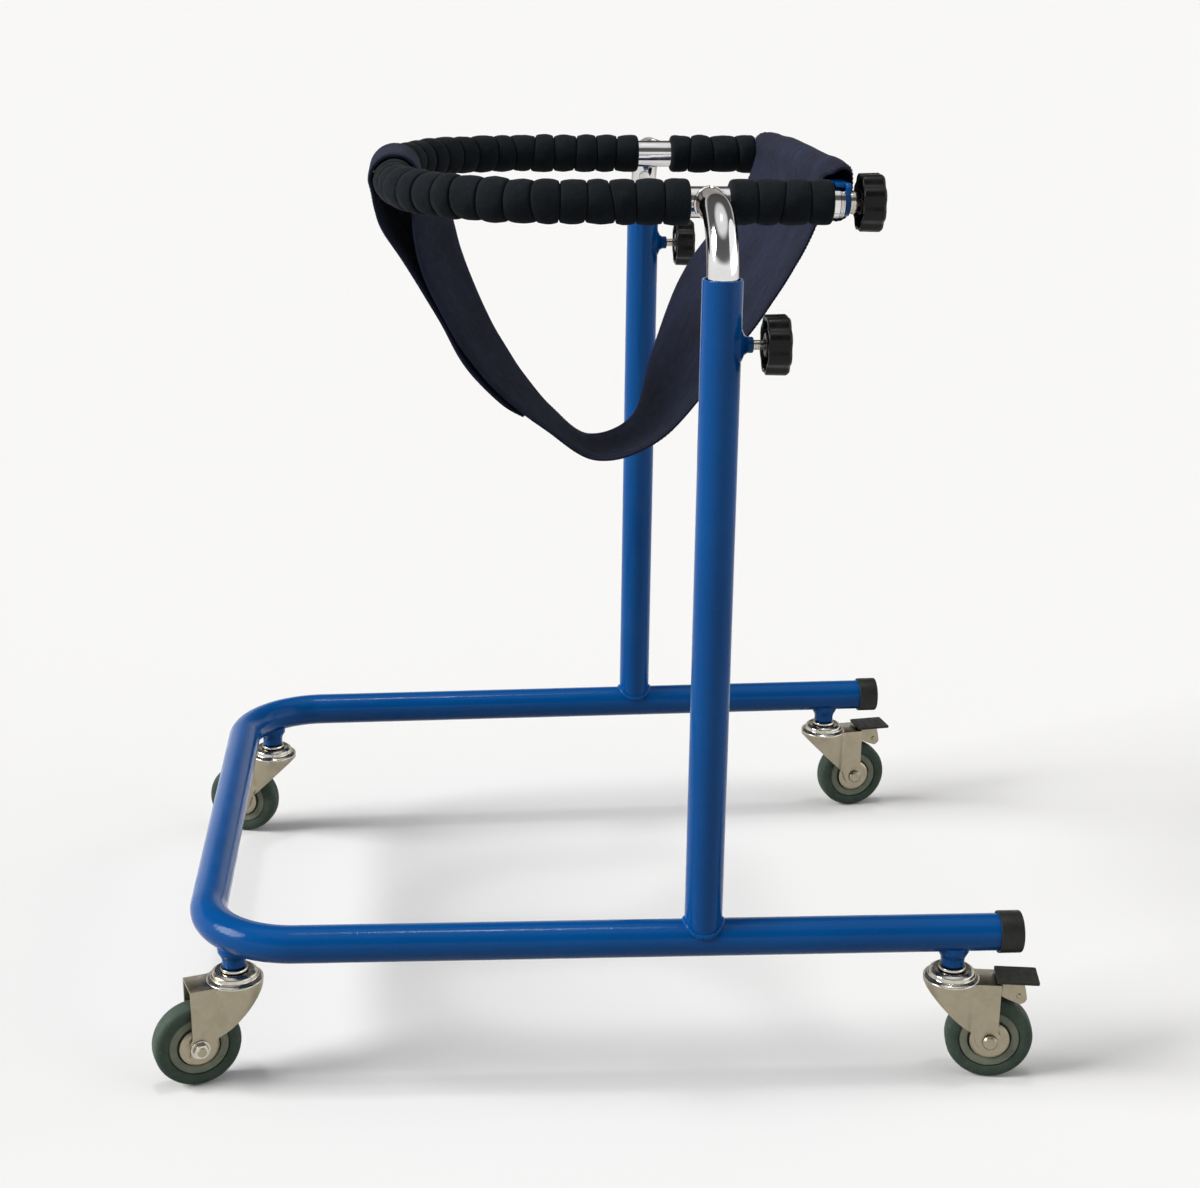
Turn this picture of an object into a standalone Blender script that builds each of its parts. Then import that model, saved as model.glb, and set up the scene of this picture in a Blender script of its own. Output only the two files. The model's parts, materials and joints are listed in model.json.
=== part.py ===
"""Underarm walker for a child, on four swivel casters, with a padded ring and a sling seat.

Metres, +Z up. The user stands between the rails and faces -X, the closed end of the base,
so left is -Y and right is +Y. The origin is on the floor, under the middle of the walker.
A bent tube makes the base, two uprights stand on its rails, and two bent stems slide in
them and carry the ring. The ring rises as one with its foam sleeves, sling and rear bar.
"""

import math

import bmesh
import bpy
from mathutils import Matrix, Vector

# Clearance between pieces that touch or fit inside each other.
GAP = 0.0003

# Base tube
TUBE_RADIUS = 0.016
TUBE_WALL = 0.002
RAIL_HEIGHT = 0.1330
CROSS_X = -0.333
RAIL_END_X = 0.3577
HALF_WIDTH_FRONT = 0.2758
RAIL_SPLAY = 0.0231
BASE_BEND_RADIUS = 0.080
CAP_LENGTH = 0.020
CAP_RADIUS = 0.0181
CAP_END_WALL = 0.003

# Uprights and the screws that clamp the stems in them
UPRIGHT_X = 0.088
UPRIGHT_TOP = 0.6905
CLAMP_HEIGHT = 0.6395
BOSS_LENGTH = 0.009
BOSS_ROOT_RADIUS = 0.0135
BOSS_TIP_RADIUS = 0.0063
SCREW_RADIUS = 0.004
SCREW_HOLE_RADIUS = 0.0045

# Stems
STEM_RADIUS = 0.0125
STEM_WALL = 0.002
STEM_BEND_RADIUS = 0.050
STEM_BOTTOM = 0.3335
PLUG_RADIUS = 0.0131
PLUG_HEAD = 0.006
PLUG_SHANK = 0.018

# Ring, foam and the bar that closes its rear
RING_HEIGHT = 0.7383
RING_HALF_WIDTH = 0.198
RING_FRONT_X = -0.163
RING_BEND_RADIUS = 0.140
RING_END_X = 0.1925
INSERT_FLANGE = 0.0037
INSERT_SHANK = 0.016
FOAM_CREST_RADIUS = 0.0184
FOAM_VALLEY_RADIUS = 0.0163
FOAM_PITCH = 0.021
FOAM_GAP_HALF = 0.0157
FOAM_REAR_RIBS = 4
BAR_X = 0.1965
BAR_RADIUS = 0.009
BAR_HALF_LENGTH = 0.173
LUG_THICKNESS = 0.004
LUG_RADIUS = 0.011
LUG_INNER = 0.160
FLANGE_START_X = 0.188
FLANGE_THICKNESS = 0.003
FLANGE_HALF_LENGTH = 0.206

# Knobs
KNOB_RADIUS = 0.024
KNOB_LOBES = 8
KNOB_SCALLOP = 0.0022
KNOB_THICKNESS = 0.0185
KNOB_WALL = 0.0035
KNOB_HUB_RADIUS = 0.0095
STUD_IN_KNOB = 0.0085
CLAMP_KNOB_START = 0.018
BAR_KNOB_START = 0.0085
BAR_COLLAR_RADIUS = 0.009
BAR_COLLAR = 0.0065
BAR_COLLAR_WALL = 0.0008
BAR_STUD_IN_ARM = 0.0045

# Casters. A caster's own frame has its origin on the floor under the swivel, with the wheel at
# +X. They stand turned a little outwards, as photographed.
REAR_SWIVEL_X = 0.304
FRONT_SWIVEL_X = -0.3081
REAR_TURN = math.radians(9)
FRONT_TURN = math.radians(162)
CASTER_TRAIL = 0.035
WHEEL_RADIUS = 0.0375
TYRE_WIDTH = 0.020
TYRE_SEAT_RADIUS = 0.0262
RIM_STEP_RADIUS = 0.0190
RIM_BORE_RADIUS = 0.0045
HUB_LENGTH = 0.0220
AXLE_RADIUS = 0.004
DUST_COVER_RADIUS = 0.0182
DUST_COVER_THICKNESS = 0.0012
SHEET = 0.0022
FORK_HALF_WIDTH = 0.0150
FORK_HEAD_RADIUS = 0.0240
FORK_TOP = 0.0920
FORK_REAR_X = 0.0415
FORK_EYE_RADIUS = 0.0115
RACE_RADIUS = 0.0190
RACE_HEIGHT = 0.0080
PIN_RADIUS = 0.005
PIN_FLANGE_RADIUS = 0.0115
PIN_FLANGE_HEIGHT = 0.0022
SOCKET_BOTTOM = 0.1035
SOCKET_TIP_RADIUS = 0.0102
SOCKET_ROOT_RADIUS = 0.0136

# Brake of a rear caster, in the caster's own frame
PEDAL_START_X = 0.0420
PEDAL_END_X = 0.0735
PEDAL_HALF_WIDTH = 0.0150
PEDAL_TOP = 0.0960
PEDAL_THICKNESS = 0.0028
LEVER_PIVOT = Vector((0.0372, 0.0, 0.0837))
LEVER_HALF_WIDTH = 0.0090
LEVER_END_X = 0.0610

# Sling
SLING_THICKNESS = 0.0035
SLING_COLUMNS = 6
SLING_ROW_SPACING = 0.014
SLING_STRAP_HALF = 0.050
SLING_HEM_HALF = 0.172
LOOP_RADIUS = 0.0213
HEM_RADIUS = 0.0118
HEM_HALF_HEIGHT = 0.0107
HEM_RISE = 0.005
HEM_HALVES_OVER_BAR = (0.172, 0.196, 0.198, 0.192, 0.178, 0.172)

# Facets of round pieces
WIDE_STEPS = 24
SMALL_STEPS = 16
BOLT_STEPS = 10
WHEEL_STEPS = 20
DISC_STEPS = 12
BEND_STEPS = 7

SIDES = {"left": -1, "right": 1}
parts = None
cutters = None


def rail_half_width(x):
    """Distance of a rail's centreline from the middle plane, where the walker is x along."""
    return HALF_WIDTH_FRONT + RAIL_SPLAY * (x - CROSS_X)


UPRIGHT_Y = rail_half_width(UPRIGHT_X)
REAR_SWIVEL_Y = rail_half_width(REAR_SWIVEL_X)
bend_start_x = CROSS_X + BASE_BEND_RADIUS
bend_cosine = (bend_start_x - FRONT_SWIVEL_X) / BASE_BEND_RADIUS
bend_sine = math.sqrt(1 - bend_cosine ** 2)
FRONT_SWIVEL_Y = HALF_WIDTH_FRONT - BASE_BEND_RADIUS * (1 - bend_sine)


# Scene and materials

def clear_scene():
    for obj in list(bpy.data.objects):
        bpy.data.objects.remove(obj, do_unlink=True)


def new_collection(name):
    collection = bpy.data.collections.new(name)
    bpy.context.scene.collection.children.link(collection)
    return collection


def material(name, colour, roughness, metallic=0.0):
    found = bpy.data.materials.get(name)
    if found:
        return found
    made = bpy.data.materials.new(name)
    made.use_nodes = True
    shader = made.node_tree.nodes["Principled BSDF"]
    shader.inputs["Base Color"].default_value = (*colour, 1.0)
    shader.inputs["Roughness"].default_value = roughness
    shader.inputs["Metallic"].default_value = metallic
    return made


def blue_paint():
    return material("blue_paint", (0.005, 0.09, 0.30), 0.25)


def chrome():
    return material("chrome", (0.80, 0.80, 0.80), 0.08, 1.0)


def zinc():
    return material("zinc", (0.62, 0.60, 0.55), 0.35, 1.0)


def black_plastic():
    return material("black_plastic", (0.012, 0.012, 0.012), 0.35)


def black_foam():
    return material("black_foam", (0.012, 0.016, 0.017), 0.9)


def navy_fabric():
    return material("navy_fabric", (0.028, 0.028, 0.060), 0.85)


def grey_rubber():
    return material("grey_rubber", (0.045, 0.075, 0.066), 0.6)


def grey_plastic():
    return material("grey_plastic", (0.30, 0.31, 0.28), 0.45)


# Making solids

def evaluated_mesh(obj):
    """The object's mesh with its modifiers applied, welded, with its faces pointing out."""
    bpy.context.view_layer.update()
    graph = bpy.context.evaluated_depsgraph_get()
    mesh = bpy.data.meshes.new_from_object(obj.evaluated_get(graph), depsgraph=graph)
    bm = bmesh.new()
    bm.from_mesh(mesh)
    bmesh.ops.remove_doubles(bm, verts=bm.verts, dist=1e-6)
    bmesh.ops.recalc_face_normals(bm, faces=bm.faces)
    bm.to_mesh(mesh)
    bm.free()
    return mesh


def link(name, data, collection, matrix=Matrix.Identity(4)):
    obj = bpy.data.objects.new(name, data)
    obj.matrix_world = matrix
    collection.objects.link(obj)
    return obj


def as_mesh(obj):
    """Replaces a curve or a modified object by a mesh object of the same shape."""
    name, matrix = obj.name, obj.matrix_world.copy()
    collection = obj.users_collection[0]
    mesh = evaluated_mesh(obj)
    bpy.data.objects.remove(obj)
    made = link(name, mesh, collection, matrix)
    mesh.name = made.name
    return made


def tube(name, points, radius, resolution=5, radii=None):
    """A solid rod along points; radii gives a radius for each point where they differ."""
    curve = bpy.data.curves.new(name, "CURVE")
    curve.dimensions = "3D"
    curve.bevel_depth = radius
    curve.bevel_resolution = resolution
    curve.use_fill_caps = True
    spline = curve.splines.new("POLY")
    spline.points.add(len(points) - 1)
    for i, place in enumerate(points):
        spline.points[i].co = (*place, 1.0)
        spline.points[i].radius = (radii[i] / radius) if radii else 1.0
    return as_mesh(link(name, curve, parts))


def turned(name, profile, steps=WIDE_STEPS, matrix=Matrix.Identity(4), ring=False):
    """A profile of (radius, height) turned about Z, given from the top down its outer side."""
    mesh = bpy.data.meshes.new(name)
    edges = [(i, i + 1) for i in range(len(profile) - 1)]
    if ring:
        edges.append((len(profile) - 1, 0))
    mesh.from_pydata([(r, 0.0, z) for r, z in profile], edges, [])
    obj = link(name, mesh, parts, matrix)
    screw = obj.modifiers.new("turn", "SCREW")
    screw.steps = steps
    screw.render_steps = steps
    screw.use_merge_vertices = True
    screw.merge_threshold = 1e-5
    return as_mesh(obj)


def plate(name, outline, thickness, matrix=Matrix.Identity(4), edge=0.0):
    """A flat outline, thickened evenly about its plane, with its edges rounded off by edge."""
    curve = bpy.data.curves.new(name, "CURVE")
    curve.dimensions = "2D"
    curve.fill_mode = "BOTH"
    curve.extrude = thickness / 2 - edge
    curve.bevel_depth = edge
    curve.bevel_resolution = 0
    curve.offset = -edge
    spline = curve.splines.new("POLY")
    spline.points.add(len(outline) - 1)
    for point, (x, y) in zip(spline.points, outline):
        point.co = (x, y, 0.0, 1.0)
    spline.use_cyclic_u = True
    return as_mesh(link(name, curve, parts, matrix))


def box(name, low, high):
    bm = bmesh.new()
    bmesh.ops.create_cube(bm, size=1.0)
    size = Vector(high) - Vector(low)
    middle = (Vector(high) + Vector(low)) / 2
    bmesh.ops.transform(bm, matrix=Matrix.Translation(middle) @ Matrix.Diagonal((*size, 1)), verts=bm.verts)
    mesh = bpy.data.meshes.new(name)
    bm.to_mesh(mesh)
    bm.free()
    return link(name, mesh, parts)


def combine(obj, other, operation):
    """Adds a Boolean modifier; the other solid becomes a construction object."""
    for collection in list(other.users_collection):
        collection.objects.unlink(other)
    cutters.objects.link(other)
    other.hide_render = True
    other.display_type = "WIRE"
    modifier = obj.modifiers.new(other.name, "BOOLEAN")
    modifier.operation = operation
    modifier.object = other
    modifier.solver = "EXACT"


def cut(obj, *others):
    for other in others:
        combine(obj, other, "DIFFERENCE")


def add(obj, *others):
    for other in others:
        combine(obj, other, "UNION")


def settle(obj, *used):
    """Applies the Booleans of a piece that is copied, and removes its construction objects."""
    made = as_mesh(obj)
    for other in used:
        bpy.data.objects.remove(other)
    return made


def taken_mesh(obj, turn=Matrix.Identity(4)):
    """Takes an object's mesh, in world places and then turned, and removes the object."""
    mesh = obj.data
    mesh.transform(turn @ obj.matrix_world)
    bpy.data.objects.remove(obj)
    return mesh


def finish(obj, surface, flat_angle=math.radians(32)):
    """Gives a sub-part its material and smooth shading between its sharp edges."""
    obj.data.materials.clear()
    obj.data.materials.append(surface)
    obj.data.shade_smooth()
    obj.data.set_sharp_from_angle(angle=flat_angle)
    if obj.modifiers:
        weld = obj.modifiers.new("weld", "WELD")
        weld.merge_threshold = 2e-5
    return obj


def empty(name, matrix, parent=None):
    obj = bpy.data.objects.new(name, None)
    parts.objects.link(obj)
    obj.empty_display_size = 0.02
    obj.parent = parent
    obj.matrix_local = matrix
    return obj


def hang(obj, parent):
    """Parents a piece whose mesh is already in world places, and leaves it where it is."""
    bpy.context.view_layer.update()
    obj.parent = parent
    obj.matrix_parent_inverse = parent.matrix_world.inverted()


# Geometry shared by several pieces

def outside(radius, steps=WIDE_STEPS):
    """Corner radius of a faceted cutter whose flats clear a round of this radius by the gap."""
    return (radius + GAP) / math.cos(math.pi / steps)


def rounded_path(corners, radius, steps):
    """A path through the corners, with each inner corner rounded by an arc."""
    corners = [Vector(corner) for corner in corners]
    path = [corners[0]]
    for before, corner, after in zip(corners, corners[1:], corners[2:]):
        towards = (before - corner).normalized()
        away = (after - corner).normalized()
        half = towards.angle(away) / 2
        centre = corner + (towards + away).normalized() * radius / math.sin(half)
        start = corner + towards * radius / math.tan(half) - centre
        sweep = math.pi - 2 * half
        axis = towards.cross(away).normalized()
        for i in range(steps + 1):
            turn = Matrix.Rotation(-sweep * i / steps, 3, axis)
            path.append(centre + turn @ start)
    path.append(corners[-1])
    return path


def resampled(path, spacing):
    """Points at even spacing along a path, from its first point to its last."""
    lengths = [0.0]
    for a, b in zip(path, path[1:]):
        lengths.append(lengths[-1] + (b - a).length)
    count = max(1, round(lengths[-1] / spacing))
    points = []
    k = 0
    for i in range(count + 1):
        target = lengths[-1] * i / count
        while k < len(path) - 2 and lengths[k + 1] < target:
            k += 1
        share = (target - lengths[k]) / (lengths[k + 1] - lengths[k])
        points.append(path[k].lerp(path[k + 1], share))
    return points


def lengthened(path, extra):
    """The same path with its two ends pushed out along their own directions."""
    first = path[0] + (path[0] - path[1]).normalized() * extra
    last = path[-1] + (path[-1] - path[-2]).normalized() * extra
    return [first] + path[1:-1] + [last]


def base_path():
    end = rail_half_width(RAIL_END_X)
    corners = [
        (RAIL_END_X, -end, RAIL_HEIGHT),
        (CROSS_X, -HALF_WIDTH_FRONT, RAIL_HEIGHT),
        (CROSS_X, HALF_WIDTH_FRONT, RAIL_HEIGHT),
        (RAIL_END_X, end, RAIL_HEIGHT),
    ]
    return rounded_path(corners, BASE_BEND_RADIUS, BEND_STEPS)


def ring_path(arm_end, steps=BEND_STEPS + 1):
    corners = [
        (arm_end, -RING_HALF_WIDTH, RING_HEIGHT),
        (RING_FRONT_X, -RING_HALF_WIDTH, RING_HEIGHT),
        (RING_FRONT_X, RING_HALF_WIDTH, RING_HEIGHT),
        (arm_end, RING_HALF_WIDTH, RING_HEIGHT),
    ]
    return rounded_path(corners, RING_BEND_RADIUS, steps)


def along_x(x, y, z, spin=0.0):
    """Stands a piece turned about Z on the +X axis at a place."""
    turn = Matrix.Rotation(math.radians(90), 4, "Y")
    return Matrix.Translation((x, y, z)) @ turn @ Matrix.Rotation(spin, 4, "Z")


def along_y(x, y, z, spin=0.0):
    """Stands a piece turned about Z on the +Y axis at a place."""
    turn = Matrix.Rotation(math.radians(-90), 4, "X")
    return Matrix.Translation((x, y, z)) @ turn @ Matrix.Rotation(spin, 4, "Z")


def rail_turn(side):
    """Turn of a rail about Z, from the X axis to its own splayed direction."""
    return Matrix.Rotation(side * math.atan(RAIL_SPLAY), 4, "Z")


# Base

def base_tube():
    path = base_path()
    obj = tube("base_tube", path, TUBE_RADIUS, 6)
    cut(obj, tube("base_bore", lengthened(path, 0.01), TUBE_RADIUS - TUBE_WALL, 3))
    return finish(obj, blue_paint())


def base_cope():
    """The base tube's own shape, a gap larger, which copes what is welded on it."""
    return tube("base_cope", base_path(), outside(TUBE_RADIUS, 16), 6)


def upright(word, side, cope):
    """A tube coped on the rail, with a welded nut for the clamp screw near its top."""
    y = side * UPRIGHT_Y
    height = UPRIGHT_TOP - RAIL_HEIGHT
    place = Matrix.Translation((UPRIGHT_X, y, RAIL_HEIGHT))
    rod = [(0, height), (TUBE_RADIUS, height), (TUBE_RADIUS, 0), (0, 0)]
    obj = turned("upright_" + word, rod, 20, place)
    reach = TUBE_RADIUS + BOSS_LENGTH
    boss = [
        (0, reach),
        (BOSS_TIP_RADIUS - 0.0006, reach),
        (BOSS_TIP_RADIUS, reach - 0.0006),
        (BOSS_TIP_RADIUS, TUBE_RADIUS + 0.0045),
        (BOSS_TIP_RADIUS + 0.0016, TUBE_RADIUS + 0.0020),
        (BOSS_ROOT_RADIUS - 0.0024, TUBE_RADIUS + 0.0003),
        (BOSS_ROOT_RADIUS, TUBE_RADIUS - 0.0018),
        (BOSS_ROOT_RADIUS, 0.007),
        (0, 0.007),
    ]
    clamp = along_x(UPRIGHT_X, y, CLAMP_HEIGHT, 0.1)
    add(obj, turned("boss_" + word, boss, SMALL_STEPS, clamp))
    bore = TUBE_RADIUS - TUBE_WALL
    hollow = [(0, height + 0.01), (bore, height + 0.01), (bore, -0.02), (0, -0.02)]
    bore_place = place @ Matrix.Rotation(0.07, 4, "Z")
    cut(obj, turned("upright_bore_" + word, hollow, SMALL_STEPS, bore_place))
    hole = [(0, reach + 0.01), (SCREW_HOLE_RADIUS, reach + 0.01), (SCREW_HOLE_RADIUS, 0), (0, 0)]
    cut(obj, turned("clamp_hole_" + word, hole, BOLT_STEPS, clamp))
    cut(obj, cope)
    return finish(obj, blue_paint())


def end_cap(word, side):
    """A push-on cup over the rail's open end."""
    half = CAP_LENGTH / 2
    inner = outside(TUBE_RADIUS, 20)
    chamfer = 0.0015
    floor = half - CAP_END_WALL
    profile = [
        (0, half),
        (CAP_RADIUS - chamfer, half),
        (CAP_RADIUS, half - chamfer),
        (CAP_RADIUS, -half),
        (inner, -half),
        (inner, floor),
        (0, floor),
    ]
    x = RAIL_END_X + GAP + CAP_END_WALL - half
    y = side * rail_half_width(x)
    place = Matrix.Translation((x, y, RAIL_HEIGHT)) @ rail_turn(side) @ Matrix.Rotation(math.radians(90), 4, "Y")
    return finish(turned("end_cap_" + word, profile, 20, place), black_plastic())


def socket(word, x, y, cope):
    """A threaded boss welded under the tube, coped to it, for the caster's pin."""
    top = RAIL_HEIGHT - 0.002
    root = RAIL_HEIGHT - TUBE_RADIUS
    bore = outside(PIN_RADIUS, DISC_STEPS)
    profile = [
        (bore, top),
        (SOCKET_ROOT_RADIUS, top),
        (SOCKET_ROOT_RADIUS, root),
        (SOCKET_TIP_RADIUS, root - 0.007),
        (SOCKET_TIP_RADIUS, SOCKET_BOTTOM),
        (bore, SOCKET_BOTTOM),
    ]
    obj = turned("socket_" + word, profile, DISC_STEPS, Matrix.Translation((x, y, 0)), ring=True)
    cut(obj, cope)
    return finish(obj, blue_paint())


# Ring assembly

def stem(word, side):
    """A chromed tube that slides in the upright, bends inwards and meets the ring's arm."""
    corners = [
        (UPRIGHT_X, side * UPRIGHT_Y, STEM_BOTTOM),
        (UPRIGHT_X, side * UPRIGHT_Y, RING_HEIGHT),
        (UPRIGHT_X, side * RING_HALF_WIDTH, RING_HEIGHT),
    ]
    path = rounded_path(corners, STEM_BEND_RADIUS, BEND_STEPS)
    obj = tube("stem_" + word, path, STEM_RADIUS, 5)
    cut(obj, tube("stem_bore_" + word, lengthened(path, 0.01), STEM_RADIUS - STEM_WALL, 2))
    radius = outside(STEM_RADIUS)
    rod = [(0, 0.03), (radius, 0.03), (radius, -0.03), (0, -0.03)]
    place = along_x(UPRIGHT_X, side * RING_HALF_WIDTH, RING_HEIGHT)
    cut(obj, turned("stem_cope_" + word, rod, matrix=place))
    beyond = side * (RING_HALF_WIDTH - 0.03)
    far = side * (RING_HALF_WIDTH - 0.001)
    low = (UPRIGHT_X - 0.02, min(beyond, far), RING_HEIGHT - 0.02)
    high = (UPRIGHT_X + 0.02, max(beyond, far), RING_HEIGHT + 0.02)
    cut(obj, box("stem_trim_" + word, low, high))
    return finish(obj, chrome())


def stem_plug(word, side):
    """A plastic foot in the stem's lower end, which guides it in the upright."""
    shank = 0.0093
    profile = [
        (0, PLUG_SHANK),
        (shank, PLUG_SHANK),
        (shank, 0),
        (PLUG_RADIUS, 0),
        (PLUG_RADIUS, -PLUG_HEAD),
        (0, -PLUG_HEAD),
    ]
    place = Matrix.Translation((UPRIGHT_X, side * UPRIGHT_Y, STEM_BOTTOM - GAP))
    return finish(turned("stem_plug_" + word, profile, 16, place), black_plastic())


def ring_tube():
    path = ring_path(RING_END_X)
    obj = tube("ring_tube", path, STEM_RADIUS, 5)
    cut(obj, tube("ring_bore", lengthened(path, 0.01), STEM_RADIUS - STEM_WALL, 2))
    return finish(obj, chrome())


def foam_sleeve(name, path, bore_path, ribs):
    """A foam sleeve with rounded ribs; each rib has a crest and a valley of unlike radius."""
    length = sum((b - a).length for a, b in zip(path, path[1:]))
    fine = resampled(path, length / (2 * ribs))
    radii = [FOAM_CREST_RADIUS if i % 2 else FOAM_VALLEY_RADIUS for i in range(len(fine))]
    obj = tube(name, fine, FOAM_CREST_RADIUS, 3, radii)
    cut(obj, tube(name + "_bore", lengthened(bore_path, 0.01), outside(STEM_RADIUS, 10), 3))
    return finish(obj, black_foam(), math.radians(60))


def foam_front():
    start = UPRIGHT_X - FOAM_GAP_HALF
    path = ring_path(start, 20)
    length = sum((b - a).length for a, b in zip(path, path[1:]))
    return foam_sleeve("foam_front", path, ring_path(start), round(length / FOAM_PITCH))


def foam_rear(word, side):
    start = UPRIGHT_X + FOAM_GAP_HALF
    end = start + FOAM_REAR_RIBS * FOAM_PITCH
    y = side * RING_HALF_WIDTH
    path = [Vector((start, y, RING_HEIGHT)), Vector((end, y, RING_HEIGHT))]
    return foam_sleeve("foam_rear_" + word, path, path, FOAM_REAR_RIBS)


def arm_insert(word, side):
    """A threaded insert pressed in the arm's open end, with a flange against its rim."""
    shank = 0.0093
    flange = 0.0122
    bore = SCREW_HOLE_RADIUS
    profile = [
        (bore, INSERT_FLANGE),
        (flange, INSERT_FLANGE),
        (flange, 0),
        (shank, 0),
        (shank, -INSERT_SHANK),
        (bore, -INSERT_SHANK),
    ]
    place = along_x(RING_END_X + GAP, side * RING_HALF_WIDTH, RING_HEIGHT)
    return finish(turned("arm_insert_" + word, profile, SMALL_STEPS, place, ring=True), chrome())


LUG_START = RING_END_X + GAP + INSERT_FLANGE + GAP


def rear_bar():
    """A painted tube across the ring's open end. Each end has a flat lug, bent over the arm's tip."""
    rod = [(0, BAR_HALF_LENGTH), (BAR_RADIUS, BAR_HALF_LENGTH), (BAR_RADIUS, -BAR_HALF_LENGTH), (0, -BAR_HALF_LENGTH)]
    obj = turned("rear_bar", rod, 16, along_y(BAR_X, 0, RING_HEIGHT))
    stand = Matrix.Rotation(math.radians(90), 4, "Z") @ Matrix.Rotation(math.radians(90), 4, "X")
    flange_low = STEM_RADIUS + GAP
    flange_high = flange_low + FLANGE_THICKNESS
    for word, side in SIDES.items():
        outline = []
        for i in range(5):
            angle = math.radians(-90 + 90 * i / 4)
            outline.append((RING_HALF_WIDTH + LUG_RADIUS * math.cos(angle), LUG_RADIUS * math.sin(angle)))
        outline.append((RING_HALF_WIDTH + LUG_RADIUS, flange_high - 0.003))
        outline.append((FLANGE_HALF_LENGTH, flange_high))
        outline += [(LUG_INNER, flange_high), (LUG_INNER, -BAR_RADIUS * 0.8)]
        outline = [(side * u, v) for u, v in outline]
        middle = LUG_START + LUG_THICKNESS / 2
        place = Matrix.Translation((middle, 0, RING_HEIGHT)) @ stand
        add(obj, plate("lug_" + word, outline, LUG_THICKNESS, place))
        ends = (side * (LUG_INNER + 0.0004), side * (FLANGE_HALF_LENGTH - 0.0008))
        low = (FLANGE_START_X, min(ends), RING_HEIGHT + flange_low)
        high = (LUG_START + 0.001, max(ends), RING_HEIGHT + flange_high - 0.0001)
        add(obj, box("flange_" + word, low, high))
    for word, side in SIDES.items():
        hole = [(0, 0.01), (SCREW_HOLE_RADIUS, 0.01), (SCREW_HOLE_RADIUS, -0.01), (0, -0.01)]
        place = along_x(LUG_START, side * RING_HALF_WIDTH, RING_HEIGHT)
        cut(obj, turned("lug_hole_" + word, hole, 12, place))
    return finish(obj, blue_paint())


def pivot_bolt():
    """A hexagon bolt that holds the bar's right lug to the right arm."""
    head_start = LUG_START + LUG_THICKNESS + GAP
    head = 0.005
    shank_end = RING_END_X - INSERT_SHANK + 0.002 - head_start
    washer = 0.0012
    top = washer + head
    root = washer / 2
    profile = [(0, top), (0.0065, top), (0.0072, top - 0.0008), (0.0072, root), (0, root)]
    place = along_x(head_start, RING_HALF_WIDTH, RING_HEIGHT)
    obj = turned("pivot_bolt", profile, 6, place)
    shaft = [
        (0, washer),
        (0.0085, washer),
        (0.0085, 0),
        (SCREW_RADIUS, 0),
        (SCREW_RADIUS, shank_end),
        (0, shank_end),
    ]
    add(obj, turned("pivot_shaft", shaft, 16, place))
    return finish(obj, zinc())


# Screws and knobs

def screw_stud(name, length, matrix, collar=None):
    """A round stud with a chamfered tip at height 0, and between two heights a cupped collar
    that is open towards the tip."""
    tip = 0.0008
    profile = [(SCREW_RADIUS, tip), (SCREW_RADIUS - tip, 0), (0, 0)]
    if collar:
        low, high = collar
        wide = BAR_COLLAR_RADIUS
        within = wide - BAR_COLLAR_WALL
        roof = high - BAR_COLLAR_WALL
        cup = [(SCREW_RADIUS, high), (wide, high), (wide, low), (within, low), (within, roof), (SCREW_RADIUS, roof)]
        profile = cup + profile
    profile = [(0, length), (SCREW_RADIUS, length)] + profile
    return finish(turned(name, profile, DISC_STEPS if collar else BOLT_STEPS, matrix), zinc())


def knob_outline():
    points = []
    per_lobe = 4
    count = KNOB_LOBES * per_lobe
    for i in range(count):
        angle = 2 * math.pi * i / count
        groove = (0.5 + 0.5 * math.cos(KNOB_LOBES * angle)) ** 2
        radius = KNOB_RADIUS - KNOB_SCALLOP * groove
        points.append((radius * math.cos(angle), radius * math.sin(angle)))
    return points


def knob_mesh():
    """A scalloped cup, open towards the screw, with a hub that the stud enters."""
    half = KNOB_THICKNESS / 2
    obj = plate("knob_form", knob_outline(), KNOB_THICKNESS, Matrix.Translation((0, 0, half)), 0.0015)
    inner = KNOB_RADIUS - KNOB_SCALLOP - KNOB_WALL
    top = KNOB_THICKNESS - KNOB_WALL
    cup = [
        (KNOB_HUB_RADIUS - 0.001, top),
        (inner - 0.001, top),
        (inner, -0.002),
        (KNOB_HUB_RADIUS, -0.002),
    ]
    hollow = turned("knob_hollow", cup, DISC_STEPS, ring=True)
    cut(obj, hollow)
    depth = STUD_IN_KNOB + 0.0015
    radius = outside(SCREW_RADIUS, BOLT_STEPS)
    bore = turned("knob_bore", [(0, depth), (radius, depth), (radius, -0.002), (0, -0.002)], BOLT_STEPS)
    cut(obj, bore)
    return taken_mesh(settle(obj, hollow, bore))


def screw_and_knob(prefix, suffix, x_tip, x_knob, y, z, mesh, collar=None):
    """A stud from its tip to inside the knob's hub, and the knob on the same axis."""
    axis = empty(prefix + "axis" + suffix, along_x(x_knob, y, z))
    length = x_knob + STUD_IN_KNOB - x_tip
    hang(screw_stud(prefix + "stud" + suffix, length, along_x(x_tip, y, z), collar), axis)
    knob = finish(link(prefix + "knob" + suffix, mesh, parts), black_plastic(), math.radians(28))
    knob.parent = axis
    return axis


# Sling

def arc_rows(x, drop, radius, first, last, halves):
    """Rows of the given half widths round an arc between two angles in degrees, where 0 points
    to the rear and 90 up."""
    rows = []
    for i, half in enumerate(halves):
        angle = math.radians(first + (last - first) * i / (len(halves) - 1))
        rows.append((x + radius * math.cos(angle), drop - radius * math.sin(angle), half, 0, 0))
    return rows


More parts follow.
